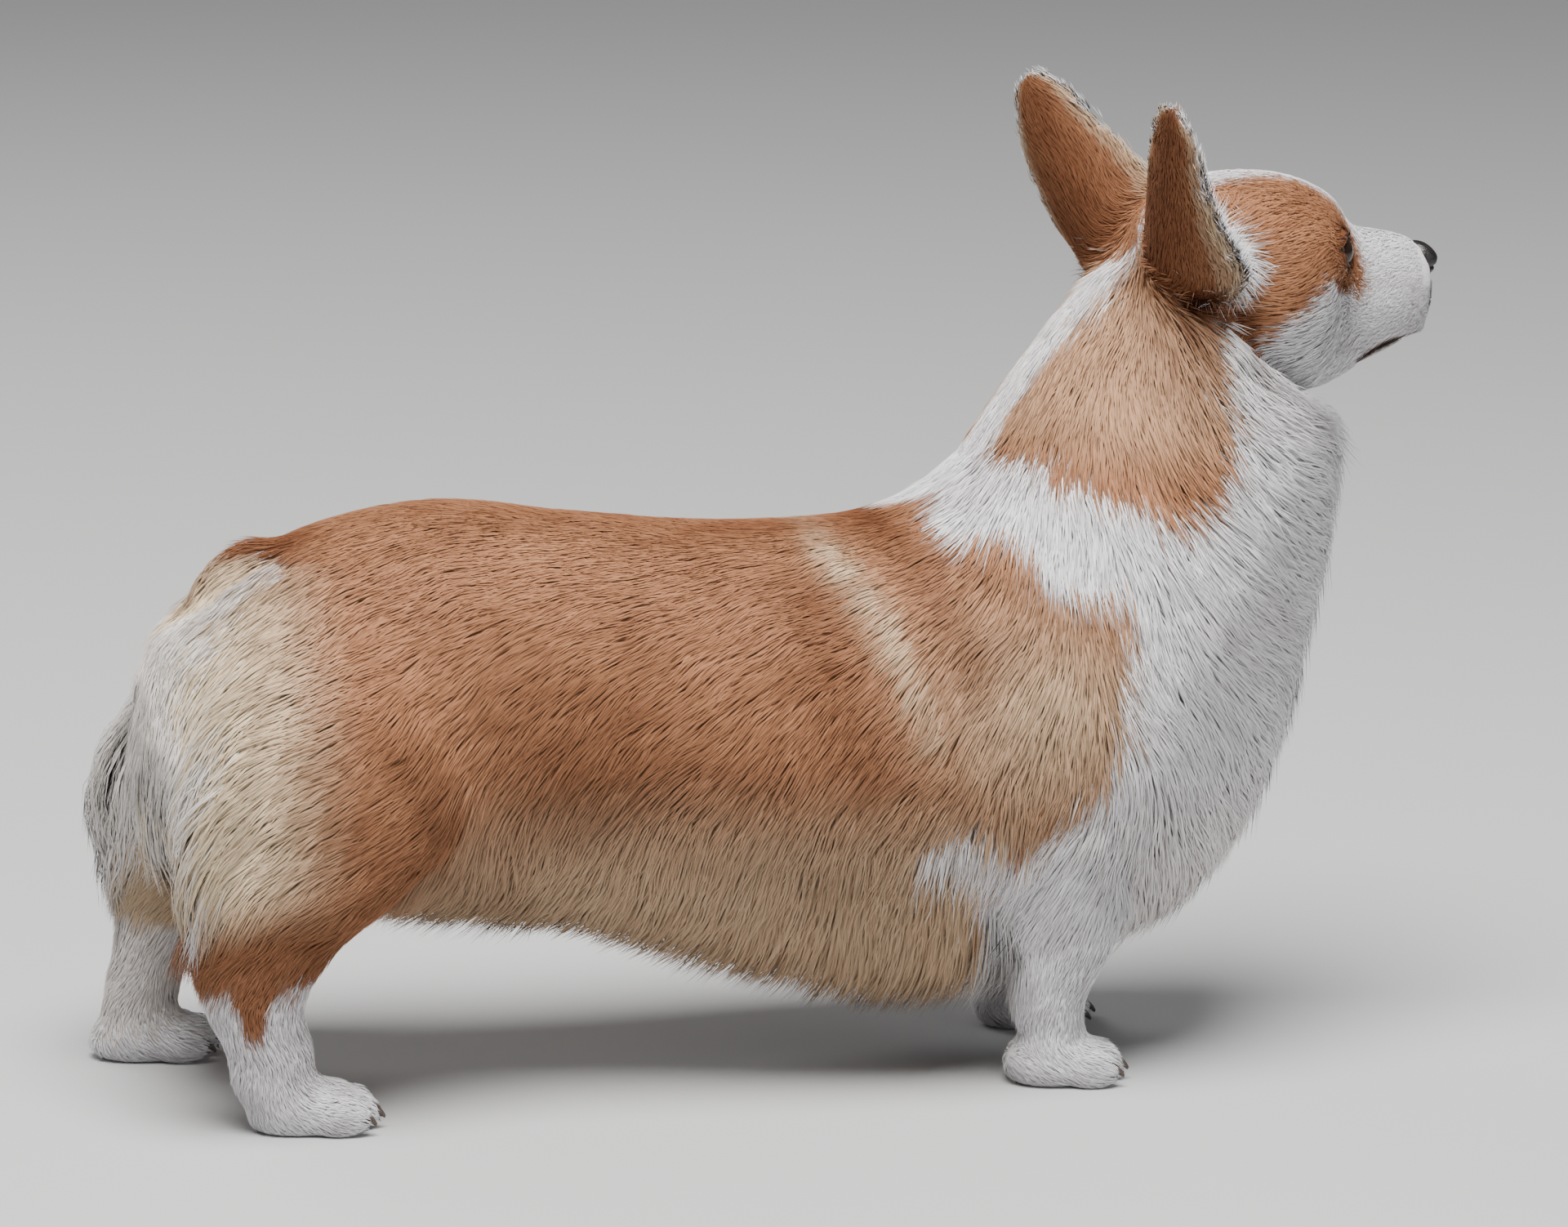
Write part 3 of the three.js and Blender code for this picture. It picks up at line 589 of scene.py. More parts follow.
THIGHS = ("hindleg_left", "hindleg_right")
EARS = ("ear_left", "ear_right")


def is_of(form, *names):
    return np.isin(form, [FORM[name] for name in names])


# Mesh helpers

def closed_grid(points):
    """Corners and faces of a closed skin over rings of points."""
    rings, sides, _ = points.shape
    ring, side = np.meshgrid(np.arange(rings - 1), np.arange(sides), indexing="ij")
    start = (ring * sides + side).ravel()
    beside = (ring * sides + (side + 1) % sides).ravel()
    faces = np.stack([start, beside, beside + sides, start + sides], 1).tolist()
    faces.append(list(range(sides))[::-1])
    faces.append([(rings - 1) * sides + j for j in range(sides)])
    return points.reshape(-1, 3), faces


BALL_SIDES, BALL_RINGS = 20, 14


def ball(centre, halves, turn=0.0, sides=BALL_SIDES, rings=BALL_RINGS):
    """A closed ball of points about the upright axis, turned about it."""
    down, round_it = np.meshgrid(
        np.linspace(0.02, np.pi - 0.02, rings), np.arange(sides) * 2 * np.pi / sides, indexing="ij"
    )
    points = np.stack([np.sin(down) * np.cos(round_it), np.sin(down) * np.sin(round_it), np.cos(down)], -1)
    return np.asarray(centre) + (points * halves) @ turn_z(turn).T


def join_grids(grids):
    corners, faces, start = [], [], 0
    for grid in grids:
        points, grid_faces = closed_grid(grid)
        corners.append(points)
        faces += [[i + start for i in face] for face in grid_faces]
        start += len(points)
    return np.concatenate(corners), faces


def object_of(name, corners, faces):
    mesh = bpy.data.meshes.new(name)
    mesh.from_pydata(corners.tolist(), [], faces)
    mesh.update()
    made = bpy.data.objects.new(name, mesh)
    bpy.context.scene.collection.objects.link(made)
    return made


def arrays_of(mesh, attribute, width, kind=np.float32, source="vertices"):
    data = getattr(mesh, source)
    values = np.empty(len(data) * width, kind)
    data.foreach_get(attribute, values)
    return values.reshape(-1, width) if width > 1 else values


def add_attribute(mesh, name, kind, values):
    made = mesh.attributes.new(name, kind, "POINT")
    field = {"FLOAT": "value", "FLOAT_COLOR": "color", "FLOAT_VECTOR": "vector"}[kind]
    made.data.foreach_set(field, np.asarray(values, np.float32).ravel())


def ridden(piece, slot, *nodes):
    """Sets a piece on the body and hides the model's nodes that it stands for. The slot is not used."""
    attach(piece, "root")
    if nodes:
        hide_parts(*nodes)
    return piece


# The skin: all forms in one

class Skin:
    """Corners, edges and outward directions of the skin, with sums over neighbours."""

    def __init__(self, mesh):
        self.mesh = mesh
        self.points = arrays_of(mesh, "co", 3).astype(float)
        self.edges = arrays_of(mesh, "vertices", 2, np.int32, "edges")
        self.count = len(self.points)
        self.degree = np.bincount(self.edges.ravel(), minlength=self.count)[:, None]

    def around(self, values):
        """The mean of each corner's neighbours."""
        a, b = self.edges.T
        total = np.stack(
            [
                np.bincount(a, column[b], self.count) + np.bincount(b, column[a], self.count)
                for column in values.T
            ],
            1,
        )
        return total / np.maximum(self.degree, 1)

    def smooth(self, values, rounds, weight=1.0):
        for _ in range(rounds):
            values = values + weight * (self.around(values) - values)
        return values

    def normals(self):
        """Outward directions from the faces round each corner."""
        self.mesh.vertices.foreach_set("co", self.points.astype(np.float32).ravel())
        self.mesh.update()
        found = np.empty(self.count * 3, np.float32)
        self.mesh.vertex_normals.foreach_get("vector", found)
        return found.reshape(-1, 3).astype(float)


def lid_frame(side):
    """The axes of an eye in the head: across, up and outward, with the lids' tilt."""
    turned = turn_z(EYE["outward"] * side) @ turn_y(-EYE["upward"])
    across, up, outward = turned[:, 1], turned[:, 2], turned[:, 0]
    c, s = math.cos(LID_OPENING["tilt"] * side), math.sin(LID_OPENING["tilt"] * side)
    return across * c + up * s, up * c - across * s, outward


def eye_centre(side):
    return np.array([EYE["x"], EYE["y"] * side, EYE["z"]])


TOE_COAT = 1.6


def rough_body():
    """Every form set in one mesh, with toes and the mounds round the eyes."""
    grids = [form.mesh() for form in forms]
    for toe in all_toes():
        grids.append(ball(toe["centre"], toe["halves"] - TOE_COAT, toe["turn"]))
    for side in SIDES.values():
        mound = ball(eye_centre(side), np.full(3, EYE_RADIUS + LID_THICKNESS * 0.8))
        grids.append(from_head(mound.reshape(-1, 3)).reshape(mound.shape))
    return join_grids(grids)


def remeshed(corners, faces):
    """One even skin of small squares round everything."""
    rough = object_of("rough", corners, faces)
    cover = rough.modifiers.new("cover", "REMESH")
    cover.mode = "VOXEL"
    cover.voxel_size = VOXEL
    done = rough.evaluated_get(bpy.context.evaluated_depsgraph_get())
    mesh = bpy.data.meshes.new_from_object(done)
    bpy.data.objects.remove(rough)
    return mesh


FACE = {"back": -104, "half": 60, "low": -90}


def finer_head(mesh):
    """Splits the head's squares in four, for the folds of the face."""
    x, y, z = to_head(arrays_of(mesh, "co", 3).astype(float)).T
    in_face = (x > FACE["back"]) & (np.abs(y) < FACE["half"]) & (z > FACE["low"])
    work = bmesh.new()
    work.from_mesh(mesh)
    work.verts.ensure_lookup_table()
    edges = [e for e in work.edges if in_face[e.verts[0].index] and in_face[e.verts[1].index]]
    bmesh.ops.subdivide_edges(work, edges=edges, cuts=1, use_grid_fill=True)
    work.to_mesh(mesh)
    work.free()
    mesh.update()
    return mesh


def sample_forms():
    """Points spread over every form, with their place on it and the coat that they carry."""
    found = {key: [] for key in ("point", "form", "u", "a", "along", "around", "flow", "hair", "reach")}
    for index, form in enumerate(forms):
        u, a = (grid.ravel() for grid in form.grid(max(form.rings * 2 // 3, 12), max(form.sides // 2, 16)))
        u = np.clip(u, 0.004, 0.996)
        along, around = form.slopes(u, a)
        values = {
            "point": form.skin(u, a),
            "form": np.full(len(u), index),
            "u": u,
            "a": a,
            "along": along,
            "around": around,
            "flow": form.flow(u, a),
            "hair": form.hair(u, a),
            "reach": form.reach(u, a),
        }
        for key, value in values.items():
            found[key].append(value)
    return {key: np.concatenate(value) for key, value in found.items()}


def nearest(cloud, points):
    tree = KDTree(len(cloud))
    for i, point in enumerate(cloud.tolist()):
        tree.insert(point, i)
    tree.balance()
    return np.array([tree.find(point)[1] for point in points.tolist()])


MOUTH_TOP = -15  # nothing higher in the head belongs to the mouth


def off_mouth(head):
    """Height above the line of the mouth, and how much of the line there is at each point."""
    corner = MOUTH_LINE[0][0]
    there = ramp(head[:, 0], corner - 3, corner + 6) * (head[:, 2] < MOUTH_TOP)
    return head[:, 2] - np.interp(head[:, 0], *MOUTH_LINE), there


def off_lids(head, side):
    """Place of points in the plane of the lids: across, up, outward, and the share of the opening."""
    across, up, outward = lid_frame(side)
    local = head - eye_centre(side)
    h, v, w = local @ across, local @ up, local @ outward
    edge = LID_OPENING["rise"] * (1 - np.clip(h / LID_OPENING["half"], -1, 1) ** 2)
    share = np.maximum(np.abs(v) / np.maximum(edge, 0.4), np.abs(h) / LID_OPENING["half"])
    return h, v, w, share


MOUTH_GROOVE = {"depth": 2.4, "half": 1.3}
JAW_SET_IN = 1.5
LIP_ROLL = {"out": 0.9, "above": 3.2, "half": 2.4}
SOCKET = {"half": 14, "rim": 1.12, "depth": 2.2}


def shape_face(points, normals):
    """Sinks the line of the mouth and the sockets of the eyes, and sets the lower jaw in."""
    head = to_head(points)
    above, there = off_mouth(head)
    groove = MOUTH_GROOVE["depth"] * np.exp(-((above / MOUTH_GROOVE["half"]) ** 2)) * there
    jaw = JAW_SET_IN * ramp(-above, 0, 2.5) * ramp(above, -30, -14) * there
    lip = LIP_ROLL["out"] * np.exp(-(((above - LIP_ROLL["above"]) / LIP_ROLL["half"]) ** 2)) * there
    moved = to_head(points + normals * (lip - groove - jaw)[:, None])
    for side in SIDES.values():
        h, v, w, share = off_lids(moved, side)
        sink = (w > 0) & (np.hypot(h, v) < SOCKET["half"]) & (share < SOCKET["rim"])
        away = unit(moved - eye_centre(side))
        socket = eye_centre(side) + away * (EYE_RADIUS - SOCKET["depth"])
        moved = np.where(sink[:, None], socket, moved)
    return from_head(moved)


# Rounds of smoothing: of a join's edges and then of the skin across it, at every join and at the thighs
JOIN = {"spread": 14, "gain": 3.5, "rounds": 16, "weight": 0.9}
THIGH_JOIN = {"spread": 40, "gain": 4, "rounds": 60, "weight": 0.9, "low": 110}
STOP_SIDE = [(-64, -26), 13, 20]  # where the muzzle meets the cheek: place, half length and half height
STOP_ROUNDS = 60
EVEN_ROUNDS = 5


def smoothed_joins(skin, form):
    """The skin's corners, drawn smooth where one form meets another."""
    a, b = skin.edges.T
    join = np.zeros((skin.count, 1))
    big = ~np.char.startswith(np.array([f.name for f in forms]), "ear")
    cross = (form[a] != form[b]) & big[form[a]] & big[form[b]]
    join[a[cross]] = 1
    join[b[cross]] = 1
    at_thigh = join * is_of(form, *THIGHS, "trunk")[:, None]
    at_thigh = np.clip(skin.smooth(at_thigh, THIGH_JOIN["spread"]) * THIGH_JOIN["gain"], 0, 1)
    at_thigh = at_thigh * (skin.points[:, 2:] > THIGH_JOIN["low"])
    join = np.clip(skin.smooth(join, JOIN["spread"]) * JOIN["gain"], 0, 1)
    points = skin.smooth(skin.points, JOIN["rounds"], join * JOIN["weight"])
    return skin.smooth(points, THIGH_JOIN["rounds"], at_thigh * THIGH_JOIN["weight"])


def make_skin():
    mesh = remeshed(*rough_body())
    skin = Skin(mesh)
    samples = sample_forms()
    own = nearest(samples["point"], skin.points)
    skin.points = smoothed_joins(skin, samples["form"][own])
    for _ in range(EVEN_ROUNDS):
        skin.points = skin.smooth(skin.points, 1, 0.5)
        skin.points = skin.smooth(skin.points, 1, -0.52)
    skin.normals()
    finer_head(mesh)
    skin = Skin(mesh)
    skin.points = skin.smooth(skin.points, 1, 0.5)
    head = to_head(skin.points)
    stop = near_spot(head[:, 0], head[:, 2], *STOP_SIDE) * ramp(-head[:, 2], -2, 8)
    skin.points = skin.smooth(skin.points, STOP_ROUNDS, stop[:, None])
    skin.points = shape_face(skin.points, skin.normals())
    skin.points[:, 2] = np.maximum(skin.points[:, 2], FLOOR_Z + 0.1)
    normals = skin.normals()
    own = nearest(samples["point"], skin.points)
    return skin, normals, samples, own


skin, skin_normals, samples, own = make_skin()
print("skin corners", skin.count)


# Markings, by place: outlines in the side plane, as [x, z]

WHITE_FRONT = [
    (24, 520), (30, 306), (42, 295), (66, 277), (98, 262), (128, 251), (150, 238), (156, 216), (156, 184),
    (150, 164), (138, 144), (122, 129), (108, 118), (92, 119), (66, 126), (52, 118), (64, 108), (84, 98),
    (90, 40), (90, -20), (420, -20), (420, 520),
]
TAN_NECK = [
    (200, 440), (173, 404), (156, 384), (135, 361), (113, 334), (92, 314), (106, 302), (126, 297),
    (147, 288), (168, 283), (186, 278), (200, 282), (211, 289), (220, 305), (220, 322), (215, 343),
    (211, 358), (214, 400),
]
WHITE_RUMP = [
    (-262, 262), (-272, 256), (-288, 236), (-301, 210), (-308, 170), (-312, 120), (-318, 90), (-420, 60),
    (-420, 262),
]
TAN_FACE = [
    (-230, 130), (-134, 80), (-104, 80), (-88, 70), (-77, 50), (-66, 32), (-58, 20), (-53, 8), (-52, -8),
    (-60, -14), (-70, -12), (-80, -2), (-92, -5), (-105, -18), (-118, -29), (-125, -38), (-127, -50),
    (-141, -54), (-150, -60), (-230, -70),
]
EAR_FAN = [(-166, 30), (-150, 28), (-139, 20), (-134, 5), (-139, -9), (-152, -8), (-164, 0)]
CHEST_SIDE = [(112, 184), 50, 52]  # place in the side plane, half length and half height
LIGHT_STRIPE = [(14, 262), (34, 236), (46, 205), (58, 176)]
DARK_BY_STRIPE = [(0, 240), (12, 200), (26, 160)]
DARK_SHOULDER = [(26, 284), (46, 268), (60, 246), (72, 222), (80, 204)]
DARK_COLLAR = [(50, 272), (80, 256), (110, 244), (136, 236)]
# Painted shadow of the tail: a dark line on the croup just under the tail's edge, in the side plane
TAIL_SHADOW_LINE = [(-296, 240), (-266, 266), (-234, 280)]
# Darker hair of the trunk: [strength, line in the side plane, half width]
TRUNK_DARK = [(0.2, DARK_BY_STRIPE, 14), (0.26, DARK_SHOULDER, 10), (0.18, DARK_COLLAR, 8)]
# Painted shade in the hollow under an ear's root, darkening its reddish brown hair
EAR_HOLLOW = [(-166, -13), (-155, -15), (-146, -17)]
CHEEK_STRIP = [(-134, -20), (-134, -32), (-132, -46)]
EYE_SPOT = (-79, -5)
THROAT_SIDE = [(196, 368), 26, 30]
# Darker spots of the skull: [strength, strength of freckles, place, half length, half height]
HEAD_DARK = [(0.14, 0.3, (-98, 36), 17, 8), (0, 0.55, (-18, -22), 15, 14), (0.5, 0, EYE_SPOT, 5, 4.5)]
BLAZE = [[-165, -140, -120, -100, -90, -80, -72, -62, -54, -46], [3, 9, 9, 6, 8, 12, 14, 15, 17, 30]]
BACK_MIDDLE = [[60, 116, 157, 250], [0, 2, 11, 18]]
NAPE_HALF = [[60, 130, 165, 185], [23, 18, 13, 5]]
HEEL_X = {"left": -310, "right": -281}


def near_line(line, x, z, width):
    return np.exp(-((distance_to_line(line, x, z) / width) ** 2))


def body_white(points, form, a):
    """How far inside the white each point of the body lies, in millimetres."""
    x, y, z = points.T
    aside = np.abs(y - np.interp(x, *BACK_MIDDLE))
    tan_neck = np.minimum(depth_in(TAN_NECK, x, z), aside - np.interp(x, *NAPE_HALF))
    white = np.minimum(depth_in(WHITE_FRONT, x, z), -tan_neck)
    rump = depth_in(WHITE_RUMP, x, z) * 0.6
    below_tail = -8 - 20 * np.cos(a) - 24 * ramp(x, -276, -256)
    white = np.maximum(white, np.where(form == FORM["tail"], below_tail, rump))
    hind = is_of(form, *THIGHS, "paw_hind_left", "paw_hind_right")
    heel_x = np.where(y > 0, HEEL_X["left"], HEEL_X["right"])
    streak = 26 * np.exp(-(((x - heel_x) / 8) ** 2)) * (aside > 70)
    return np.maximum(white, np.where(hind, 72 - z - streak + 0.2 * (70 - aside), -40))


def head_white(head):
    """The same on the head: white muzzle, blaze, cheeks and throat."""
    x, y, z = head.T
    blaze = np.where(z > -5, np.interp(x, *BLAZE) - np.abs(y), -40)
    fan = np.where(np.abs(y) > 24, depth_in(EAR_FAN, x, z), -40)
    return np.maximum(np.maximum(-depth_in(TAN_FACE, x, z), blaze), fan)


def ear_rim(a):
    """0 along the middle of an ear and 1 at its edges."""
    return np.abs(np.where(a < np.pi, a / np.pi, 2 - a / np.pi) * 2 - 1)


def dark_on_body(points, form, u, a):
    """Shares of dark on the trunk, the thighs and the tail."""
    x, _, z = points.T
    on_trunk = form == FORM["trunk"]
    from_spine = np.minimum(a, 2 * np.pi - a)
    spine = np.exp(-((from_spine / 0.3) ** 2)) * ramp(u, 0.03, 0.12) * ramp(-u, -0.56, -0.44)
    clouds = ramp(waves(points * [0.5, 1, 1], 60, 5), 0, 1.2)
    strands = ramp(waves(points * [1, 1, 0.4], 9, 12), -0.4, 0.9)
    dark = 0.26 * spine + 0.14 * clouds
    for strength, line, half in TRUNK_DARK:
        dark += strength * near_line(line, x, z, half)
    dark += (0.12 + 0.34 * strands) * near_spot(x, z, *THROAT_SIDE)
    # painted shade: darker towards the belly, where the body shades its own underside, with the lower
    # flank's own deeper red
    dark += 0.13 * ramp(-z, -150, -84)
    # painted shadow of the tail on the croup under it
    dark += 0.3 * near_line(TAIL_SHADOW_LINE, x, z, 4) * (from_spine < 0.9)
    on_thigh = 0.1 * ramp(x, -290, -240) + 0.16 * ramp(-z, -124, -88)
    on_tail = 0.42 * ramp(np.cos(a), 0.2, 0.9)
    return on_trunk * dark + is_of(form, *THIGHS) * on_thigh + (form == FORM["tail"]) * on_tail


def dark_on_head(points, head, on_head):
    """Shares of dark round the ears' roots and, on the skull, of freckles, muzzle and lids."""
    x, y, z = head.T
    aside = np.abs(y) > 20
    # painted shade in the hollow under each ear's root, over reddish brown hair; the cheek strip is a
    # marking
    dark = (0.45 * near_line(EAR_HOLLOW, x, z, 6) + 0.5 * near_line(CHEEK_STRIP, x, z, 6)) * aside
    freckles = ramp(waves(points, 4.5, 11), 0.55, 1.15)
    for strength, of_freckles, place, half, height in HEAD_DARK:
        dark += (strength + of_freckles * freckles) * near_spot(x, z, place, half, height) * on_head
    specks = ramp(waves(points * [1, 1, 1.6], 5, 13), 0.1, 1.1)
    from_eye = np.linalg.norm(np.stack([x - EYE["x"], np.abs(y) - EYE["y"], z - EYE["z"]]), axis=0)
    dark += (0.16 * specks * ramp(x, -74, -50) + 0.5 * ramp(-from_eye, -17, -12.5)) * on_head
    return dark


def dark_share(points, head, form, u, a):
    dark = dark_on_body(points, form, u, a) + dark_on_head(points, head, form == FORM["skull"])
    # the back of an ear: its own brown, with painted shade darker towards the middle of the leaf
    ear_back = is_of(form, *EARS) & (a < np.pi)
    return np.clip(dark + np.where(ear_back, 0.15 + 0.25 * (1 - ear_rim(a)), 0), 0, 1)


def cream_share(points, form, a):
    """The most cream of any mark: stripe, chest, belly, neck, breeches, far thigh and edges of the ears,
    with painted light on the ears' edges and painted shade holding the belly's cream low.
    """
    x, y, z = points.T
    on_trunk = form == FORM["trunk"]
    streaks = 0.55 + 0.45 * ramp(waves(points * [1, 1, 0.35], 8, 14), -0.8, 0.8)
    low = ramp(-z, -176, -92) * ramp(x, -228, -160)
    shares = [
        0.62 * on_trunk * streaks * near_line(LIGHT_STRIPE, x, z, 8),
        0.5 * on_trunk * near_spot(x, z, *CHEST_SIDE),
        # the belly fringe's cream, held low as painted shade under the body
        (0.42 + 0.2 * streaks) * on_trunk * low,
        0.2 * on_trunk * ramp(z, 292, 330),
        ramp(-x, 222, 300) * ramp(z, 90, 130) * (z < 266),
        0.8 * is_of(form, *THIGHS) * (y > 0) * ramp(-z, -150, -110),
        # the ears' paler fringe, with painted light where light catches their edges
        0.9 * (is_of(form, *EARS) & (a < np.pi)) * ramp(ear_rim(a), 0.55, 1),
    ]
    return np.clip(np.max(shares, axis=0), 0, 1)


LIP_HALF = [[-52, -20], [4.2, 2]]


def markings(points, form, u, a):
    """How far inside the white each point lies, and its shares of dark, cream, bare skin and lip."""
    head = to_head(points)
    on_head = form == FORM["skull"]
    wander = 5 * waves(points, 46, 3) + 2.5 * waves(points, 17, 4)
    white = np.where(on_head, head_white(head) + 1.5 + 0.3 * wander, body_white(points, form, a) + wander)
    ears = is_of(form, *EARS)
    inside_ear = ears & (a > np.pi)
    white = np.where(ears, np.where(inside_ear, 12, -18), white)
    white -= 12 * near_spot(head[:, 0], head[:, 2], EYE_SPOT, 6, 5.5) * on_head
    above, there = off_mouth(head)
    lip_half = np.interp(head[:, 0], *LIP_HALF)
    return {
        "white": white,
        "dark": dark_share(points, head, form, u, a),
        "cream": cream_share(points, form, a),
        "bare": np.where(inside_ear, ramp(u, 0.05, 0.2) * 0.85, 0),
        "lip": np.exp(-(((above + 0.8) / lip_half) ** 2)) * there * on_head,
    }


WHITE_BORDER = 3.5
DARK_LOST_IN_WHITE = 0.55


def marking_colours(marks, jitter=0.0):
    """The four shares that the materials read, with a soft border to the white."""
    white = ramp(marks["white"] + jitter, -WHITE_BORDER, WHITE_BORDER)
    dark = np.maximum(marks["dark"] * (1 - DARK_LOST_IN_WHITE * white), marks["lip"])
    return np.stack([white, dark, marks["cream"], marks["bare"]], 1)


marks = markings(skin.points, samples["form"][own], samples["u"][own], samples["a"][own])


# Materials

def linear(red, green, blue):
    """A colour given as it looks, from 0 to 255, as linear light."""
    values = [c / 255 for c in (red, green, blue)]
    return [c / 12.92 if c <= 0.04045 else ((c + 0.055) / 1.055) ** 2.4 for c in values] + [1]


class Nodes:
    """A material's nodes, made by name and joined by keyword."""

    def __init__(self, name):
        self.material = bpy.data.materials.new(name)
        self.material.use_nodes = True
        self.tree = self.material.node_tree
        self.shader = self.tree.nodes["Principled BSDF"]

    def add(self, kind, settings=None, **inputs):
        node = self.tree.nodes.new("ShaderNode" + kind)
        for key, value in (settings or {}).items():
            setattr(node, key, value)
        for key, value in inputs.items():
            self.set(node.inputs[key.replace("_", " ")], value)
        return node

    def set(self, socket, value):
        if isinstance(value, bpy.types.NodeSocket):
            self.tree.links.new(value, socket)
        else:
            socket.default_value = value

    def mix(self, share, first, second, blend="MIX"):
        node = self.tree.nodes.new("ShaderNodeMix")
        node.data_type = "RGBA"
        node.blend_type = blend
        for socket, value in zip((node.inputs[0], node.inputs[6], node.inputs[7]), (share, first, second)):
            self.set(socket, value)
        return node.outputs[2]

    def maths(self, operation, first, second, clamp=False):
        node = self.tree.nodes.new("ShaderNodeMath")
        node.operation = operation
        node.use_clamp = clamp
        self.set(node.inputs[0], first)
        self.set(node.inputs[1], second)
        return node.outputs[0]

    def attribute(self, name):
        return self.add("Attribute", {"attribute_name": name})

    def finish(self, **inputs):
        for key, value in inputs.items():
            self.set(self.shader.inputs[key.replace("_", " ")], value)
        return self.material


RED_LIGHT = linear(190, 135, 99)
RED_DEEP = linear(124, 81, 57)
BROWN = linear(84, 44, 24)
BLACK = linear(26, 18, 16)
CREAM = linear(238, 217, 182)
WHITE = linear(250, 249, 250)
WHITE_SHADE = linear(208, 204, 207)
BARE = linear(176, 148, 142)


def coat_colour(nodes, tint):
    """The coat's colour from its markings, with slow changes over the body."""
    places = nodes.add("TexCoord").outputs["Object"]
    slow = nodes.add("TexNoise", Vector=places, Scale=16, Detail=2).outputs["Fac"]
    marks_read = nodes.attribute("markings")
    split = nodes.add("SeparateColor", Color=marks_read.outputs["Color"])
    depth = nodes.maths("ADD", nodes.maths("MULTIPLY", slow, 0.6), nodes.maths("MULTIPLY", tint, 0.45))
    red = nodes.mix(nodes.maths("SUBTRACT", depth, 0.04, True), RED_LIGHT, RED_DEEP)
    red = nodes.mix(nodes.maths("MULTIPLY", split.outputs["Blue"], 0.85), red, CREAM)
    white = nodes.mix(tint, WHITE, WHITE_SHADE)
    white = nodes.mix(nodes.maths("MULTIPLY", split.outputs["Blue"], 0.25), white, CREAM)
    colour = nodes.mix(split.outputs["Red"], red, white)
    brown = nodes.maths("MULTIPLY", split.outputs["Green"], 1.6, True)
    colour = nodes.mix(brown, colour, BROWN)
    black = nodes.maths("MULTIPLY", nodes.maths("SUBTRACT", split.outputs["Green"], 0.52), 3.5, True)
    return nodes.mix(black, colour, BLACK), marks_read


def coat_material():
    nodes = Nodes("coat")
    along = nodes.attribute("along").outputs["Fac"]
    tint = nodes.attribute("tint").outputs["Fac"]
    colour, _ = coat_colour(nodes, tint)
    # painted shade: each tuft darker towards its root, as if shaded by the coat over it
    shade = nodes.maths("ADD", nodes.maths("MULTIPLY", along, 0.12), 0.9, True)
    gray = nodes.add("CombineColor", Red=shade, Green=shade, Blue=shade).outputs["Color"]
    colour = nodes.mix(1.0, colour, gray, "MULTIPLY")
    return nodes.finish(Base_Color=colour, Roughness=0.6, Specular_IOR_Level=0.06)


def skin_material():
    nodes = Nodes("skin")
    places = nodes.add("TexCoord").outputs["Object"]
    strands = nodes.add("TexNoise", Vector=places, Scale=900, Detail=3)
    colour, marks_read = coat_colour(nodes, strands.outputs["Fac"])
    colour = nodes.mix(marks_read.outputs["Alpha"], colour, BARE)
    # the skin a little darker and warmer than the coat: partly its own tone, partly painted shade in the
    # gaps between tufts
    colour = nodes.mix(0.15, colour, nodes.mix(1.0, colour, linear(150, 124, 112), "MULTIPLY"))
    bump = nodes.add("Bump", Strength=0.6, Distance=0.0006, Height=strands.outputs["Fac"])
    return nodes.finish(
        Base_Color=colour, Roughness=0.75, Specular_IOR_Level=0.1, Normal=bump.outputs["Normal"]
    )


def nose_material():
    nodes = Nodes("nose_leather")
    places = nodes.add("TexCoord").outputs["Object"]
    pebbles = nodes.add("TexVoronoi", {"feature": "SMOOTH_F1"}, Vector=places, Scale=1300)
    patches = nodes.add("TexNoise", Vector=places, Scale=220, Detail=3).outputs["Fac"]
    colour = nodes.mix(patches, linear(14, 11, 12), linear(34, 28, 28))
    bump = nodes.add("Bump", Strength=0.5, Distance=0.0005, Height=pebbles.outputs["Distance"])
    rough = nodes.maths("ADD", nodes.maths("MULTIPLY", patches, 0.3), 0.2)
    return nodes.finish(
        Base_Color=colour,
        Roughness=rough,
        Normal=bump.outputs["Normal"],
        Coat_Weight=0.25,
        Coat_Roughness=0.2,
    )


def eye_material():
    nodes = Nodes("eye_ball")
    angle = nodes.attribute("from_axis").outputs["Fac"]
    places = nodes.add("TexCoord").outputs["Object"]
    fibres = nodes.add("TexNoise", Vector=places, Scale=1500, Detail=3).outputs["Fac"]
    iris = nodes.mix(fibres, linear(22, 12, 8), linear(48, 28, 17))
    # Rings round the pupil: degrees from the axis where each starts and is full, and its colour
    colour = linear(8, 6, 6)
    for start, full, ring in (13, 17, iris), (38, 52, linear(10, 7, 6)), (58, 70, linear(26, 19, 17)):
        share = nodes.add(
            "MapRange", {"interpolation_type": "SMOOTHSTEP"}, Value=angle, From_Min=start, From_Max=full
        )
        colour = nodes.mix(share.outputs["Result"], colour, ring)
    return nodes.finish(
        Base_Color=colour, Roughness=0.14, Specular_IOR_Level=0.35, Coat_Weight=0.2, Coat_Roughness=0.02
    )


def plain_material(name, dark, light, scale, roughness, bump_height):
    """A finish of two shades broken up by fine noise, with a low relief."""
    nodes = Nodes(name)
    places = nodes.add("TexCoord").outputs["Object"]
    noise = nodes.add("TexNoise", Vector=places, Scale=scale, Detail=4).outputs["Fac"]
    bump = nodes.add("Bump", Strength=0.4, Distance=bump_height, Height=noise)
    return nodes.finish(
        Base_Color=nodes.mix(noise, dark, light), Roughness=roughness, Normal=bump.outputs["Normal"]
    )


COAT = coat_material()


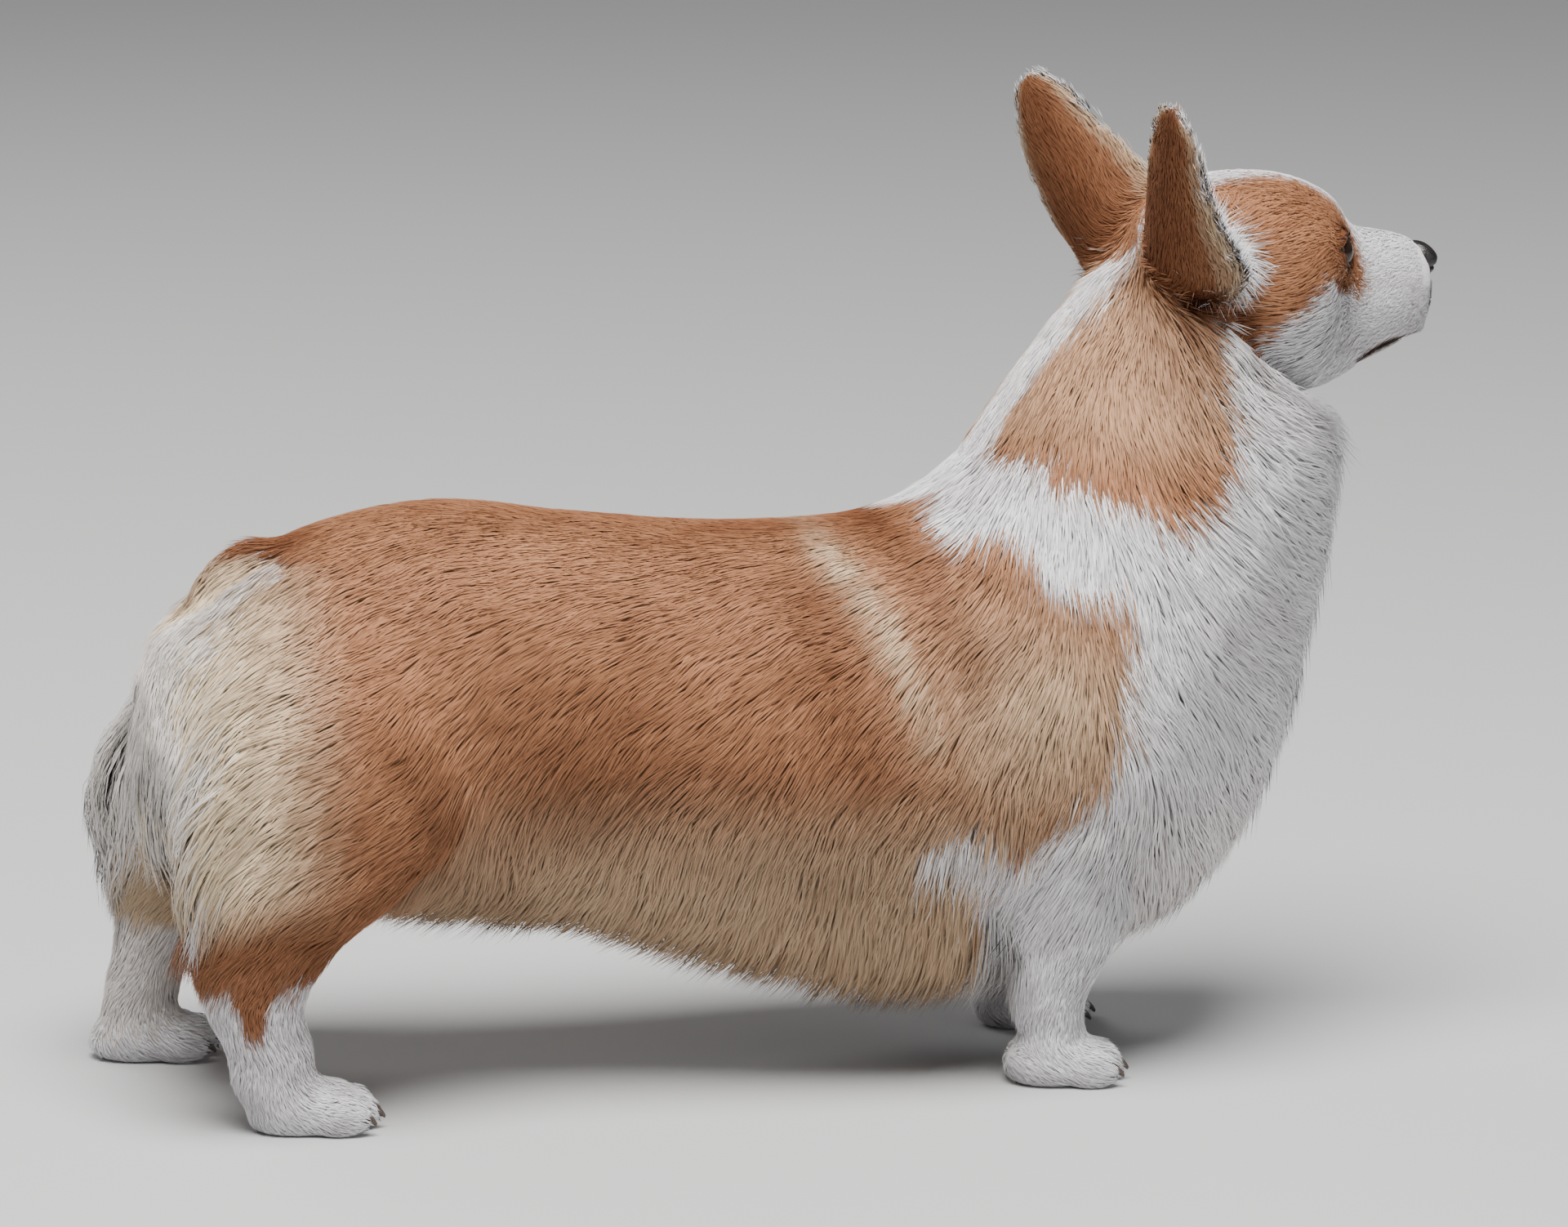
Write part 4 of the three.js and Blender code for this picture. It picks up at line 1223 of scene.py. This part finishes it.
def finish_skin():
    mesh = skin.mesh
    mesh.vertices.foreach_set("co", to_model(skin.points).astype(np.float32).ravel())
    add_attribute(mesh, "markings", "FLOAT_COLOR", marking_colours(marks))
    mesh.polygons.foreach_set("use_smooth", np.ones(len(mesh.polygons), bool))
    mesh.materials.clear()
    mesh.materials.append(skin_material())
    mesh.update()
    piece = bpy.data.objects.new("skin", mesh)
    bpy.context.scene.collection.objects.link(piece)
    flesh = [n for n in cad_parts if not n.startswith(("eye", "claw", "nose"))]
    return ridden(piece, "red_coat", *flesh)


# The coat

# By length of hair: half the width of a tuft, tufts on a square millimetre, and how far tips draw together
HAIR_LENGTHS = [3, 5, 8, 14, 26, 36, 54]
HALF_WIDTHS = [0.2, 0.22, 0.25, 0.28, 0.34, 0.4, 0.48]
TUFTS_PER_AREA = [1.4, 1.25, 0.95, 0.72, 0.46, 0.34, 0.27]
CLUMP_SPACING = [1.5, 1.8, 2.4, 3.4, 5, 6.5, 8]
ROOT_DEPTH = 0.8
LEAST_BEND, MOST_BEND = -0.03, 0.05  # of the skin along a tuft, per millimetre


def edge_curvature(flow):
    """How fast the skin falls away along the lie of the hair, per millimetre."""
    a, b = skin.edges.T
    step = skin.points[b] - skin.points[a]
    length = np.maximum(np.linalg.norm(step, axis=1), 1e-6)
    bend = np.einsum("ij,ij->i", skin_normals[b] - skin_normals[a], step) / length**2
    total, weight = np.zeros(skin.count), np.zeros(skin.count)
    for end in (a, b):
        share = (np.einsum("ij,ij->i", flow[end], step) / length) ** 2
        total += np.bincount(end, bend * share, skin.count)
        weight += np.bincount(end, share, skin.count)
    return np.clip(total / np.maximum(weight, 1e-6), LEAST_BEND, MOST_BEND)


def on_surface(vectors):
    flat = vectors - skin_normals * np.einsum("ij,ij->i", vectors, skin_normals)[:, None]
    return unit(flat)


FAN_CENTRE = np.array([-165.0, 0, 18])
FAN_HAIR = [21, 12]  # its length and reach
FALL_LIE = np.array([-0.3, 0, -1.0])  # of the hair that hangs behind
LIE_ROUNDS = [7, 7, 7, 7]  # of smoothing, each followed by laying it on the skin again
HAIR_ROUNDS = 8
BEND_ROUNDS = 4


def fan_share(head):
    """How much of the hair at each point springs from the opening of the ear."""
    far = np.linalg.norm((head - FAN_CENTRE)[:, [0, 2]], axis=1)
    share = ramp(-far, -40, -26) * ramp(head[:, 0], -168, -156) * ramp(head[:, 2], -22, -8)
    return (share * ramp(np.abs(head[:, 1]), 22, 32))[:, None]


def coat_fields():
    """The coat's lie, length, reach and the skin's bend at each corner of the skin."""
    head = to_head(skin.points)
    fan = np.where((samples["form"][own] == FORM["skull"])[:, None], fan_share(head), 0)
    away = unit((head - FAN_CENTRE) * [1, 0, 1]) @ HEAD_TURN.T
    flow = on_surface(samples["flow"][own])
    behind = is_of(samples["form"][own], "trunk", "tail", *THIGHS)
    fall = (ramp(-skin.points[:, 0], 262, 306) * ramp(skin.points[:, 2], 90, 120) * behind)[:, None]
    flow = on_surface(flow * (1 - fall) + FALL_LIE * fall)
    for rounds in LIE_ROUNDS:
        flow = on_surface(skin.smooth(flow, rounds))
    flow = on_surface(skin.smooth(flow * (1 - fan) + away * fan, 2))
    measures = np.stack([samples["hair"][own], samples["reach"][own]], 1)
    measures = skin.smooth(measures * (1 - fan) + np.array(FAN_HAIR) * fan, HAIR_ROUNDS)
    bend = skin.smooth(edge_curvature(flow)[:, None], BEND_ROUNDS)[:, 0]
    return flow, measures[:, 0], measures[:, 1], bend


flow, hair_length, hair_reach, skin_bend = coat_fields()


def tufts_per_area(length):
    return COAT_DENSITY * np.interp(length, HAIR_LENGTHS, TUFTS_PER_AREA)


# Places without hair: round the lids, along the lips and below the nose pad
BARE_LIDS = {"half": 16, "rim": 1.45}
BARE_LIPS = {"above": 0.3, "half": 1.5}
BARE_NOSE = {"back": -13, "low": -10}
BARE_SOLE = 1.5


def density():
    """Tufts wanted at each corner of the skin, per square millimetre."""
    form, u, a = samples["form"][own], samples["u"][own], samples["a"][own]
    head = to_head(skin.points)
    wanted = tufts_per_area(hair_length)
    for side in SIDES.values():
        h, v, w, share = off_lids(head, side)
        wanted *= ~((w > 0) & (np.hypot(h, v) < BARE_LIDS["half"]) & (share < BARE_LIDS["rim"]))
    above, there = off_mouth(head)
    wanted *= ~((np.abs(above + BARE_LIPS["above"]) < BARE_LIPS["half"]) & (there > 0.5))
    wanted *= ~((head[:, 0] > BARE_NOSE["back"]) & (head[:, 2] > BARE_NOSE["low"]))
    inner = is_of(form, *EARS) & (a > np.pi)
    in_cup = 0.25 + 0.9 * ramp(ear_rim(a), 0.5, 0.9) + 0.5 * ramp(-u, -0.4, -0.1)
    wanted *= np.where(inner, in_cup, 1)
    wanted *= skin.points[:, 2] > FLOOR_Z + BARE_SOLE
    return wanted


def scatter():
    """Roots of tufts spread evenly over the skin: their triangle's corners and weights."""
    mesh = skin.mesh
    mesh.calc_loop_triangles()
    triangles = arrays_of(mesh, "vertices", 3, np.int32, "loop_triangles")
    p, q, r = (skin.points[triangles[:, k]] for k in range(3))
    area = np.linalg.norm(np.cross(q - p, r - p), axis=1) / 2
    share = np.cumsum(area * density()[triangles].mean(1))
    count = int(share[-1])
    picks = np.searchsorted(share, (np.arange(count) + rng.random(count)) * share[-1] / count)
    picks = np.minimum(picks, len(triangles) - 1)
    first, second = rng.random((2, count))
    flip = first + second > 1
    first[flip], second[flip] = 1 - first[flip], 1 - second[flip]
    return triangles[picks], np.stack([1 - first - second, first, second], 1)


root_corners, root_weights = scatter()
print("tufts", len(root_corners))


def at_roots(values):
    values = values if values.ndim > 1 else values[:, None]
    mixed = np.einsum("ij,ijk->ik", root_weights, values[root_corners])
    return mixed if mixed.shape[1] > 1 else mixed[:, 0]


root = {
    "point": at_roots(skin.points),
    "normal": unit(at_roots(skin_normals)),
    "flow": unit(at_roots(flow)),
    "length": at_roots(hair_length),
    "reach": at_roots(hair_reach),
    "bend": at_roots(skin_bend),
    "own": own[root_corners[np.arange(len(root_corners)), root_weights.argmax(1)]],
}
# Where a tuft's rings lie between its root and tip, by the length of hair that they are for
RING_SHARES = {(0, 34): [0.4], (34, 99): [0.28, 0.64]}


def clump_roots():
    """Each tuft's leader, a tuft nearby whose tip it leans to."""
    length = root["length"]
    spacing = np.interp(length, HAIR_LENGTHS, CLUMP_SPACING)
    leader = rng.random(len(length)) < 1 / np.maximum(tufts_per_area(length) * spacing**2, 1)
    leaders = np.flatnonzero(leader)
    return leaders[nearest(root["point"][leaders], root["point"])]


STEPS = 12  # of a tuft's course from root to tip
TUFT_LENGTHS = (0.72, 1.12)  # of the hair's length
LEAST_HEIGHT = 0.4  # of the coat's reach
LEAST_TRAVEL = 0.22  # of a tuft's length, along the skin
SAG = {"rate": 0.0035, "full at": 45}
PULL = [[8, 30, 55], [0.2, 0.28, 0.42]]  # of a leader's tip, by length of hair
MOST_CURL = 0.035  # of a tuft's length
CURL_TURN = 5.0
LEAST_CLEAR = 0.6  # over the floor


def strand_paths():
    """Each tuft's course: out of the skin, bent along the lie and drawn to its leader's tip."""
    count = len(root["length"])
    point, normal, lie = root["point"], root["normal"], root["flow"]
    side = np.cross(normal, lie)
    swing = 0.16 * waves(point, 55, 7) + 0.12 * waves(point, 21, 8)
    own_swing = rng.normal(0, 0.11, count)
    length = root["length"] * rng.uniform(*TUFT_LENGTHS, count)
    height = root["reach"] * (LEAST_HEIGHT + (1 - LEAST_HEIGHT) * rng.random(count) ** 0.6)
    leader = clump_roots()
    shares = np.linspace(0, 1, STEPS + 1)[None, :, None]

    def course(turn, length, height, choose=slice(None)):
        ahead = unit(lie[choose] * np.cos(turn)[:, None] + side[choose] * np.sin(turn)[:, None])
        flat = np.sqrt(np.maximum(length**2 - height**2, (LEAST_TRAVEL * length) ** 2))
        travel = flat[:, None, None] * shares
        fall = 0.5 * root["bend"][choose][:, None, None] * travel**2
        rise = height[:, None, None] * np.sin(0.5 * np.pi * shares) ** 0.85
        path = point[choose][:, None] + ahead[:, None] * travel + normal[choose][:, None] * (rise - fall)
        heavy = np.clip(length / SAG["full at"], 0, 1)[:, None]
        path[..., 2] -= (SAG["rate"] * (length[:, None] * shares[..., 0]) ** 2) * heavy
        return path

    paths = course(swing + own_swing, length, height)
    lead_turn = swing + rng.normal(0, 0.1, count)
    lead = course(lead_turn[leader], root["length"][leader], root["reach"][leader], leader)
    pull = np.interp(length, *PULL) * rng.uniform(0.4, 1.2, count)
    pull = pull[:, None, None] * shares**1.6
    paths += pull * (lead - paths)
    wave = root["length"] * rng.uniform(0.0, MOST_CURL, count)
    phase = rng.uniform(0, 2 * np.pi, count)[:, None]
    curl = np.sin(phase + shares[..., 0] * CURL_TURN) * shares[..., 0] * wave[:, None]
    paths += side[:, None] * curl[..., None]
    paths[..., 2] = np.maximum(paths[..., 2], FLOOR_Z + LEAST_CLEAR)
    return paths


paths = strand_paths()
# A tuft's colour is read at half its length.
root_marks = markings(paths[:, STEPS // 2], *(samples[key][root["own"]] for key in ("form", "u", "a")))
BREECH = {"place": (-314, 160), "half": 10, "height": 24, "dark share": 0.08}
breech = near_spot(*root["point"].T[[0, 2]], BREECH["place"], BREECH["half"], BREECH["height"])
breech_wisps = (breech > 0.35) & (rng.random(len(paths)) < BREECH["dark share"])
root_marks["dark"] = np.maximum(root_marks["dark"], breech_wisps)
root_marks["white"] = root_marks["white"] - 30 * breech_wisps
root_colours = marking_colours(root_marks, rng.normal(0, 3, len(paths)))
root_tint = np.clip(rng.normal(0.5, 0.24, len(paths)) + 0.18 * waves(root["point"], 13, 9), 0, 1)

REGIONS = [
    ("coat_rump", [("trunk", 0.0, 0.19)]),
    ("coat_loin", [("trunk", 0.19, 0.27)]),
    ("coat_flank", [("trunk", 0.27, 0.35)]),
    ("coat_barrel", [("trunk", 0.35, 0.44)]),
    ("coat_shoulder", [("trunk", 0.44, 0.54)]),
    ("coat_chest", [("trunk", 0.54, 0.66)]),
    ("coat_bib", [("trunk", 0.66, 0.8)]),
    ("coat_ruff", [("trunk", 0.8, 1.0)]),
    ("coat_cheeks", [("skull", 0.0, 0.3)]),
    ("coat_face", [("skull", 0.3, 1.0)]),
    ("coat_ears", [("ear_left", 0.0, 1.0), ("ear_right", 0.0, 1.0)]),
    ("coat_tail", [("tail", 0.0, 1.0)]),
    ("coat_thigh_left", [("hindleg_left", 0.0, 0.6)]),
    ("coat_thigh_right", [("hindleg_right", 0.0, 0.6)]),
    ("coat_hocks", [("hindleg_left", 0.6, 1.0), ("hindleg_right", 0.6, 1.0)]),
    ("coat_forelegs", [("foreleg_left", 0.0, 1.0), ("foreleg_right", 0.0, 1.0)]),
    ("coat_paws", [(f"paw_{end}_{side}", 0.0, 1.0) for end in PAWS for side in SIDES]),
]
PATCH = 0.003  # width of a tuft's patch on the map
MAP_EDGE, MAP_SPAN = 0.01, 0.98


def root_places():
    """Each root's place on its form, as shares of its length and round it."""
    index = root["own"]
    off = root["point"] - samples["point"][index]
    steps = []
    for key in ("along", "around"):
        slope = samples[key][index]
        steps.append(np.einsum("ij,ij->i", off, slope) / np.maximum((slope**2).sum(1), 1e-9))
    u = np.clip(samples["u"][index] + steps[0], 0, 1)
    turn = np.mod((samples["a"][index] + steps[1]) / (2 * np.pi), 1)
    return samples["form"][index], u, turn


root_form, root_u, root_turn = root_places()


TUFT_WIDTHS = (0.7, 1.2)
TUFT_HEIGHT = 0.7  # of half its width
TAPER = {"full": 1.15, "power": 2.2}


def tuft_mesh(chosen, ring_shares):
    """Corners, faces and values of solid tufts: a point in the skin, three-sided rings and a tip."""
    shares = np.array([0, *ring_shares, 1])
    rings = len(ring_shares)
    picks = np.round(shares * STEPS).astype(int)
    path = paths[chosen][:, picks]
    ahead = unit(np.gradient(path, axis=1))[:, 1:-1]
    normal = root["normal"][chosen][:, None]
    across = unit(np.cross(ahead, normal))
    out = np.cross(across, ahead)
    half = np.interp(root["length"][chosen], HAIR_LENGTHS, HALF_WIDTHS)
    half = half * rng.uniform(*TUFT_WIDTHS, len(chosen))
    taper = TAPER["full"] * (1 - shares[1:-1] ** TAPER["power"])
    half = half[:, None, None] * taper[None, :, None]
    ring = path[:, 1:-1]
    corners = np.stack([ring - across * half, ring + out * half * TUFT_HEIGHT, ring + across * half], 2)
    start = path[:, :1] - ROOT_DEPTH * normal
    corners = np.concatenate([start, corners.reshape(len(chosen), rings * 3, 3), path[:, -1:]], 1)
    beside = [(k, (k + 1) % 3) for k in range(3)]
    faces = [[0, 1 + b, 1 + a] for a, b in beside]
    for first in range(1, rings * 3 - 2, 3):
        if first + 3 < rings * 3:
            for a, b in beside:
                faces += [[first + a, first + b, first + b + 3], [first + a, first + b + 3, first + a + 3]]
    tip, last = rings * 3 + 1, rings * 3 - 2
    faces += [[last + a, last + b, tip] for a, b in beside]
    along = np.concatenate([[0], np.repeat(shares[1:-1], 3), [1]])
    sideways = np.concatenate([[0], np.tile([-0.5, 0, 0.5], rings), [0]])
    return corners, np.array(faces), along, sideways


LEAN = {"coat": 0.45, "in ear": 5.0}  # of the shading to a tuft's own round side


def coat_normals(corners, chosen):
    """Directions for shading: mostly the skin's own, leaning to each tuft's round side."""
    centre = corners.mean(1, keepdims=True)
    own_side = unit(corners - centre)
    in_ear = is_of(root_form[chosen], *EARS) & (root_turn[chosen] > 0.5)
    lean = np.where(in_ear, LEAN["in ear"], LEAN["coat"])
    return unit(root["normal"][chosen][:, None] + lean[:, None, None] * own_side)


def coat_piece(name, chosen, uv):
    """One mesh of the tufts chosen, long and short, each with its patch of the map."""
    parts = []
    for (shortest, longest), shares in RING_SHARES.items():
        some = (root["length"][chosen] > shortest) & (root["length"][chosen] <= longest)
        if some.any():
            parts.append((chosen[some], uv[some], tuft_mesh(chosen[some], shares)))
    points, faces, values, normals, maps, start = [], [], [], [], [], 0
    for indices, patch, (corners, cell, along, sideways) in parts:
        count, each, _ = corners.shape
        points.append(corners.reshape(-1, 3))
        offsets = start + np.arange(count)[:, None, None] * each
        faces.append((offsets + cell[None]).reshape(-1, 3))
        start += count * each
        colour = np.repeat(root_colours[indices][:, None], each, 1).reshape(-1, 4)
        spread = np.tile(along, count)
        tint = np.repeat(root_tint[indices], each)
        values.append((colour, spread, tint))
        normals.append(coat_normals(corners, indices).reshape(-1, 3))
        spot = patch[:, None] + PATCH * np.stack([along - 0.5, sideways], 1)[None]
        maps.append(spot[:, cell.ravel()].reshape(-1, 2))
    mesh = bpy.data.meshes.new(name)
    triangles = np.concatenate(faces).astype(np.int32)
    mesh.vertices.add(start)
    mesh.vertices.foreach_set("co", to_model(np.concatenate(points)).astype(np.float32).ravel())
    mesh.loops.add(triangles.size)
    mesh.loops.foreach_set("vertex_index", triangles.ravel())
    mesh.polygons.add(len(triangles))
    mesh.polygons.foreach_set("loop_start", np.arange(0, triangles.size, 3, dtype=np.int32))
    mesh.polygons.foreach_set("use_smooth", np.ones(len(triangles), bool))
    layer = mesh.uv_layers.new(name="OFBake")
    layer.uv.foreach_set("vector", np.concatenate(maps).astype(np.float32).ravel())
    mesh.update(calc_edges=True)
    add_attribute(mesh, "markings", "FLOAT_COLOR", np.concatenate([v[0] for v in values]))
    add_attribute(mesh, "along", "FLOAT", np.concatenate([v[1] for v in values]))
    add_attribute(mesh, "tint", "FLOAT", np.concatenate([v[2] for v in values]))
    mesh.normals_split_custom_set_from_vertices(np.concatenate(normals).astype(np.float32))
    mesh.materials.append(COAT)
    piece = bpy.data.objects.new(name, mesh)
    bpy.context.scene.collection.objects.link(piece)
    print(name, len(triangles), "triangles")
    return ridden(piece, "white_coat" if "paws" in name or "fore" in name else "red_coat")


def make_coat():
    for name, areas in REGIONS:
        chosen, uv = [], []
        for row, (form_name, start, end) in enumerate(areas):
            last = end == 1.0
            here = (root_form == FORM[form_name]) & (root_u >= start) & ((root_u < end) | last)
            found = np.flatnonzero(here)
            along = (root_u[found] - start) / (end - start)
            chosen.append(found)
            across = (row + root_turn[found]) / len(areas)
            uv.append(np.stack([MAP_EDGE + MAP_SPAN * along, MAP_EDGE + MAP_SPAN * across], 1))
        coat_piece(name, np.concatenate(chosen), np.concatenate(uv))


make_coat()
finish_skin()


# Eyes, lids, nose and claws

EYE_RINGS = 64
CLEAR_FRONT = {"rise": 0.55, "half": math.radians(34)}
EYE_INSET = 0.35


def eye_piece(name, side):
    """A ball with a raised clear front, its pupil on the outward axis."""
    across, up, outward = lid_frame(side)
    from_axis, round_it = np.meshgrid(
        np.linspace(0.004, np.pi - 0.004, EYE_RINGS),
        np.arange(EYE_RINGS) * 2 * np.pi / EYE_RINGS,
        indexing="ij",
    )
    front = CLEAR_FRONT["rise"] * np.exp(-((from_axis / CLEAR_FRONT["half"]) ** 4))
    radius = EYE_RADIUS + front - EYE_INSET
    local = (
        np.cos(from_axis)[..., None] * outward
        + (np.sin(from_axis) * np.cos(round_it))[..., None] * across
        + (np.sin(from_axis) * np.sin(round_it))[..., None] * up
    )
    points = from_head((eye_centre(side) + local * radius[..., None]).reshape(-1, 3))
    corners, faces = closed_grid(points.reshape(EYE_RINGS, EYE_RINGS, 3))
    piece = object_of(name, to_model(corners), faces)
    add_attribute(piece.data, "from_axis", "FLOAT", np.degrees(from_axis).ravel())
    return piece


# Rows across the lids: share of the opening, and height over the ball
LID_ROWS = [
    (0.93, -0.6), (0.95, 0.5), (1.0, 1.15), (1.08, 1.45), (1.2, 1.4), (1.36, 0.9), (1.5, -0.6), (1.2, -1.6),
]


def lid_ring(side):
    """Both lids' rims as one closed ring round the opening of the eye."""
    across, up, outward = lid_frame(side)
    count = 72
    turn = np.arange(count) * 2 * np.pi / count
    h = LID_OPENING["half"] * np.cos(turn)
    v = LID_OPENING["rise"] * np.sign(np.sin(turn)) * np.abs(np.sin(turn)) ** 1.25
    v = np.where(v < 0, v * 0.9, v)
    rings = []
    for share, lift in LID_ROWS:
        radius = EYE_RADIUS + lift
        outwards = np.sqrt(np.maximum(radius**2 - (h * share) ** 2 - (v * share) ** 2, 1))
        ring = h[:, None] * share * across + v[:, None] * share * up + outwards[:, None] * outward
        rings.append(eye_centre(side) + ring)
    corners = from_head(np.stack(rings).reshape(-1, 3))
    faces = []
    for i in range(len(LID_ROWS)):
        row, next_row = i * count, (i + 1) % len(LID_ROWS) * count
        for j in range(count):
            k = (j + 1) % count
            faces.append([row + j, row + k, next_row + k, next_row + j])
    return corners, faces


NOSE_RINGS, NOSE_SIDES = 90, 96
NOSE_CUTS = {"nostril": 3.6, "slit": 2.3, "groove": 0.8, "wing": 0.7}


def nose_piece():
    """The nose pad, with comma nostrils, a groove down its front and rounded wings."""
    pad = Loft("nose", NOSE, [[0, 0, 0, 0, 0, 0, 0]] * 2, NOSE_RINGS, NOSE_SIDES, in_head=True)
    u, a = pad.grid()
    points = to_head(pad.point(u.ravel(), a.ravel()))
    x, y, z = points.T
    front = ramp(x, -12, -4)
    hole = np.exp(-(((np.abs(y) - 5.6) / 2.3) ** 2) - ((z - 1.6) / 2.1) ** 2)
    slit_x = np.abs(y) - 9.4
    slit = np.exp(-((slit_x / 2.9) ** 2) - (((z + 1.2 + 0.25 * slit_x) / 1.0) ** 2))
    groove = np.exp(-((y / 0.75) ** 2)) * ramp(-z, -3, 4)
    wing = np.exp(-(((np.abs(y) - 8.2) / 2.6) ** 2) - ((z - 3.4) / 3.0) ** 2)
    cut = NOSE_CUTS["nostril"] * np.clip(hole, 0, 1) + NOSE_CUTS["slit"] * slit * (1 - 0.5 * hole)
    x = x - front * (cut + NOSE_CUTS["groove"] * groove - NOSE_CUTS["wing"] * wing)
    y = y * (1 - 0.1 * slit * ramp(-x, 0, 8))
    points = from_head(np.stack([x, y, z], 1))
    corners, faces = closed_grid(points.reshape(NOSE_RINGS, NOSE_SIDES, 3))
    return object_of("nose_pad", to_model(corners), faces)


CLAW = {"radius": 2.2, "taper": 0.68, "in toe": 7, "reach": 11, "rise": 6, "droop": 2.5, "flat": 0.8}


def claw_grid(toe):
    """A blunt claw that curves down out of the end of a toe."""
    steps, sides = 9, 12
    share = np.linspace(0, 1, steps)[:, None]
    bend = np.radians(10 + 52 * share)
    along = toe["halves"][0] - CLAW["in toe"] + CLAW["reach"] * np.sin(bend)
    height = CLAW["rise"] - CLAW["rise"] * (1 - np.cos(bend)) - CLAW["droop"] * share
    radius = CLAW["radius"] * (1 - CLAW["taper"] * share**1.3)
    turn = np.arange(sides)[None] * 2 * np.pi / sides
    forward = along + 0.5 * radius * np.sin(turn)
    ring = np.stack([forward, radius * np.cos(turn) * CLAW["flat"], height + radius * np.sin(turn)], -1)
    points = toe["centre"] - [0, 0, 4] + ring @ turn_z(toe["turn"]).T
    points[..., 2] = np.maximum(points[..., 2], FLOOR_Z + 0.15)
    return points


def smooth_shaded(piece, *materials):
    piece.data.polygons.foreach_set("use_smooth", np.ones(len(piece.data.polygons), bool))
    for material in materials:
        piece.data.materials.append(material)
    return piece


def make_small_parts():
    eye_look = eye_material()
    for name, side in SIDES.items():
        piece = smooth_shaded(eye_piece(f"eyeball_{name}", side), eye_look)
        ridden(piece, "eye", f"eye_{name}")
    corners, faces, start = [], [], 0
    for side in SIDES.values():
        points, ring_faces = lid_ring(side)
        corners.append(points)
        faces += [[i + start for i in face] for face in ring_faces]
        start += len(points)
    lid_look = plain_material("lid_rim", linear(12, 9, 8), linear(34, 25, 22), 700, 0.45, 0.0002)
    lids = object_of("eyelids", to_model(np.concatenate(corners)), faces)
    ridden(smooth_shaded(lids, lid_look), "nose")
    ridden(smooth_shaded(nose_piece(), nose_material()), "nose", "nose")
    points, claw_faces = join_grids([claw_grid(toe) for toe in all_toes()])
    claw_look = plain_material("claw_horn", linear(48, 40, 36), linear(92, 80, 70), 500, 0.4, 0.0002)
    claw_nodes = [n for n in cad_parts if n.startswith("claw")]
    ridden(smooth_shaded(object_of("claws", to_model(points), claw_faces), claw_look), "claw", *claw_nodes)


make_small_parts()


# Floor, light and camera

FLOOR_HALF = 12.0


def make_stage():
    corners = np.array([[-1, -1, 0], [1, -1, 0], [1, 1, 0], [-1, 1, 0]]) * FLOOR_HALF
    floor = object_of("floor", corners, [[0, 1, 2, 3]])
    nodes = Nodes("floor_paint")
    noise = nodes.add("TexNoise", Scale=3, Detail=2).outputs["Fac"]
    colour = nodes.mix(noise, linear(188, 188, 188), linear(194, 194, 195))
    floor.data.materials.append(nodes.finish(Base_Color=colour, Roughness=0.9))


def add_light(name, place, size, power, colour):
    light = bpy.data.lights.new(name, "AREA")
    light.shape = "DISK"
    light.size = size
    light.energy = power
    light.color = colour
    made = bpy.data.objects.new(name, light)
    bpy.context.scene.collection.objects.link(made)
    made.location = place
    made.rotation_euler = (Vector(LIGHT_AIM) - Vector(place)).to_track_quat("-Z", "Y").to_euler()


CAMERA_AZIMUTH = math.radians(-12)
CAMERA_ELEVATION = math.radians(12)
CAMERA_DISTANCE = 4.0
PHOTO_WIDTH = 1920
METRES_PER_PIXEL = 0.000405
AIM = np.array([0, 0, 223.6])


def make_camera():
    data = bpy.data.cameras.new("camera")
    data.sensor_width = 36
    data.lens = data.sensor_width * CAMERA_DISTANCE / (PHOTO_WIDTH * METRES_PER_PIXEL)
    camera = bpy.data.objects.new("camera", data)
    bpy.context.scene.collection.objects.link(camera)
    flat = math.cos(CAMERA_ELEVATION)
    back = Vector(
        (math.sin(CAMERA_AZIMUTH) * flat, -math.cos(CAMERA_AZIMUTH) * flat, math.sin(CAMERA_ELEVATION))
    )
    camera.location = Vector(to_model(AIM)) + back * CAMERA_DISTANCE
    camera.rotation_euler = (-back).to_track_quat("-Z", "Y").to_euler()
    bpy.context.scene.camera = camera


LIGHT_AIM = (0, 0, 0.25)
# Each light: its name, place, size, power and colour
LIGHTS = [
    ("key", (-0.3, -1.0, 3.4), 2.4, 320, (1.0, 0.99, 0.97)),
    ("fill", (2.2, -2.4, 1.4), 2.2, 16, (0.96, 0.98, 1.0)),
    ("rim", (-1.6, 2.4, 2.2), 1.8, 30, (1.0, 0.99, 0.98)),
]
SKY = {"colour": (0.93, 0.95, 1.0, 1), "strength": 0.14}


def make_light():
    world = bpy.data.worlds.new("studio")
    world.use_nodes = True
    background = world.node_tree.nodes["Background"]
    background.inputs["Color"].default_value = SKY["colour"]
    background.inputs["Strength"].default_value = SKY["strength"]
    bpy.context.scene.world = world
    for light in LIGHTS:
        add_light(*light)


make_stage()
make_camera()
make_light()
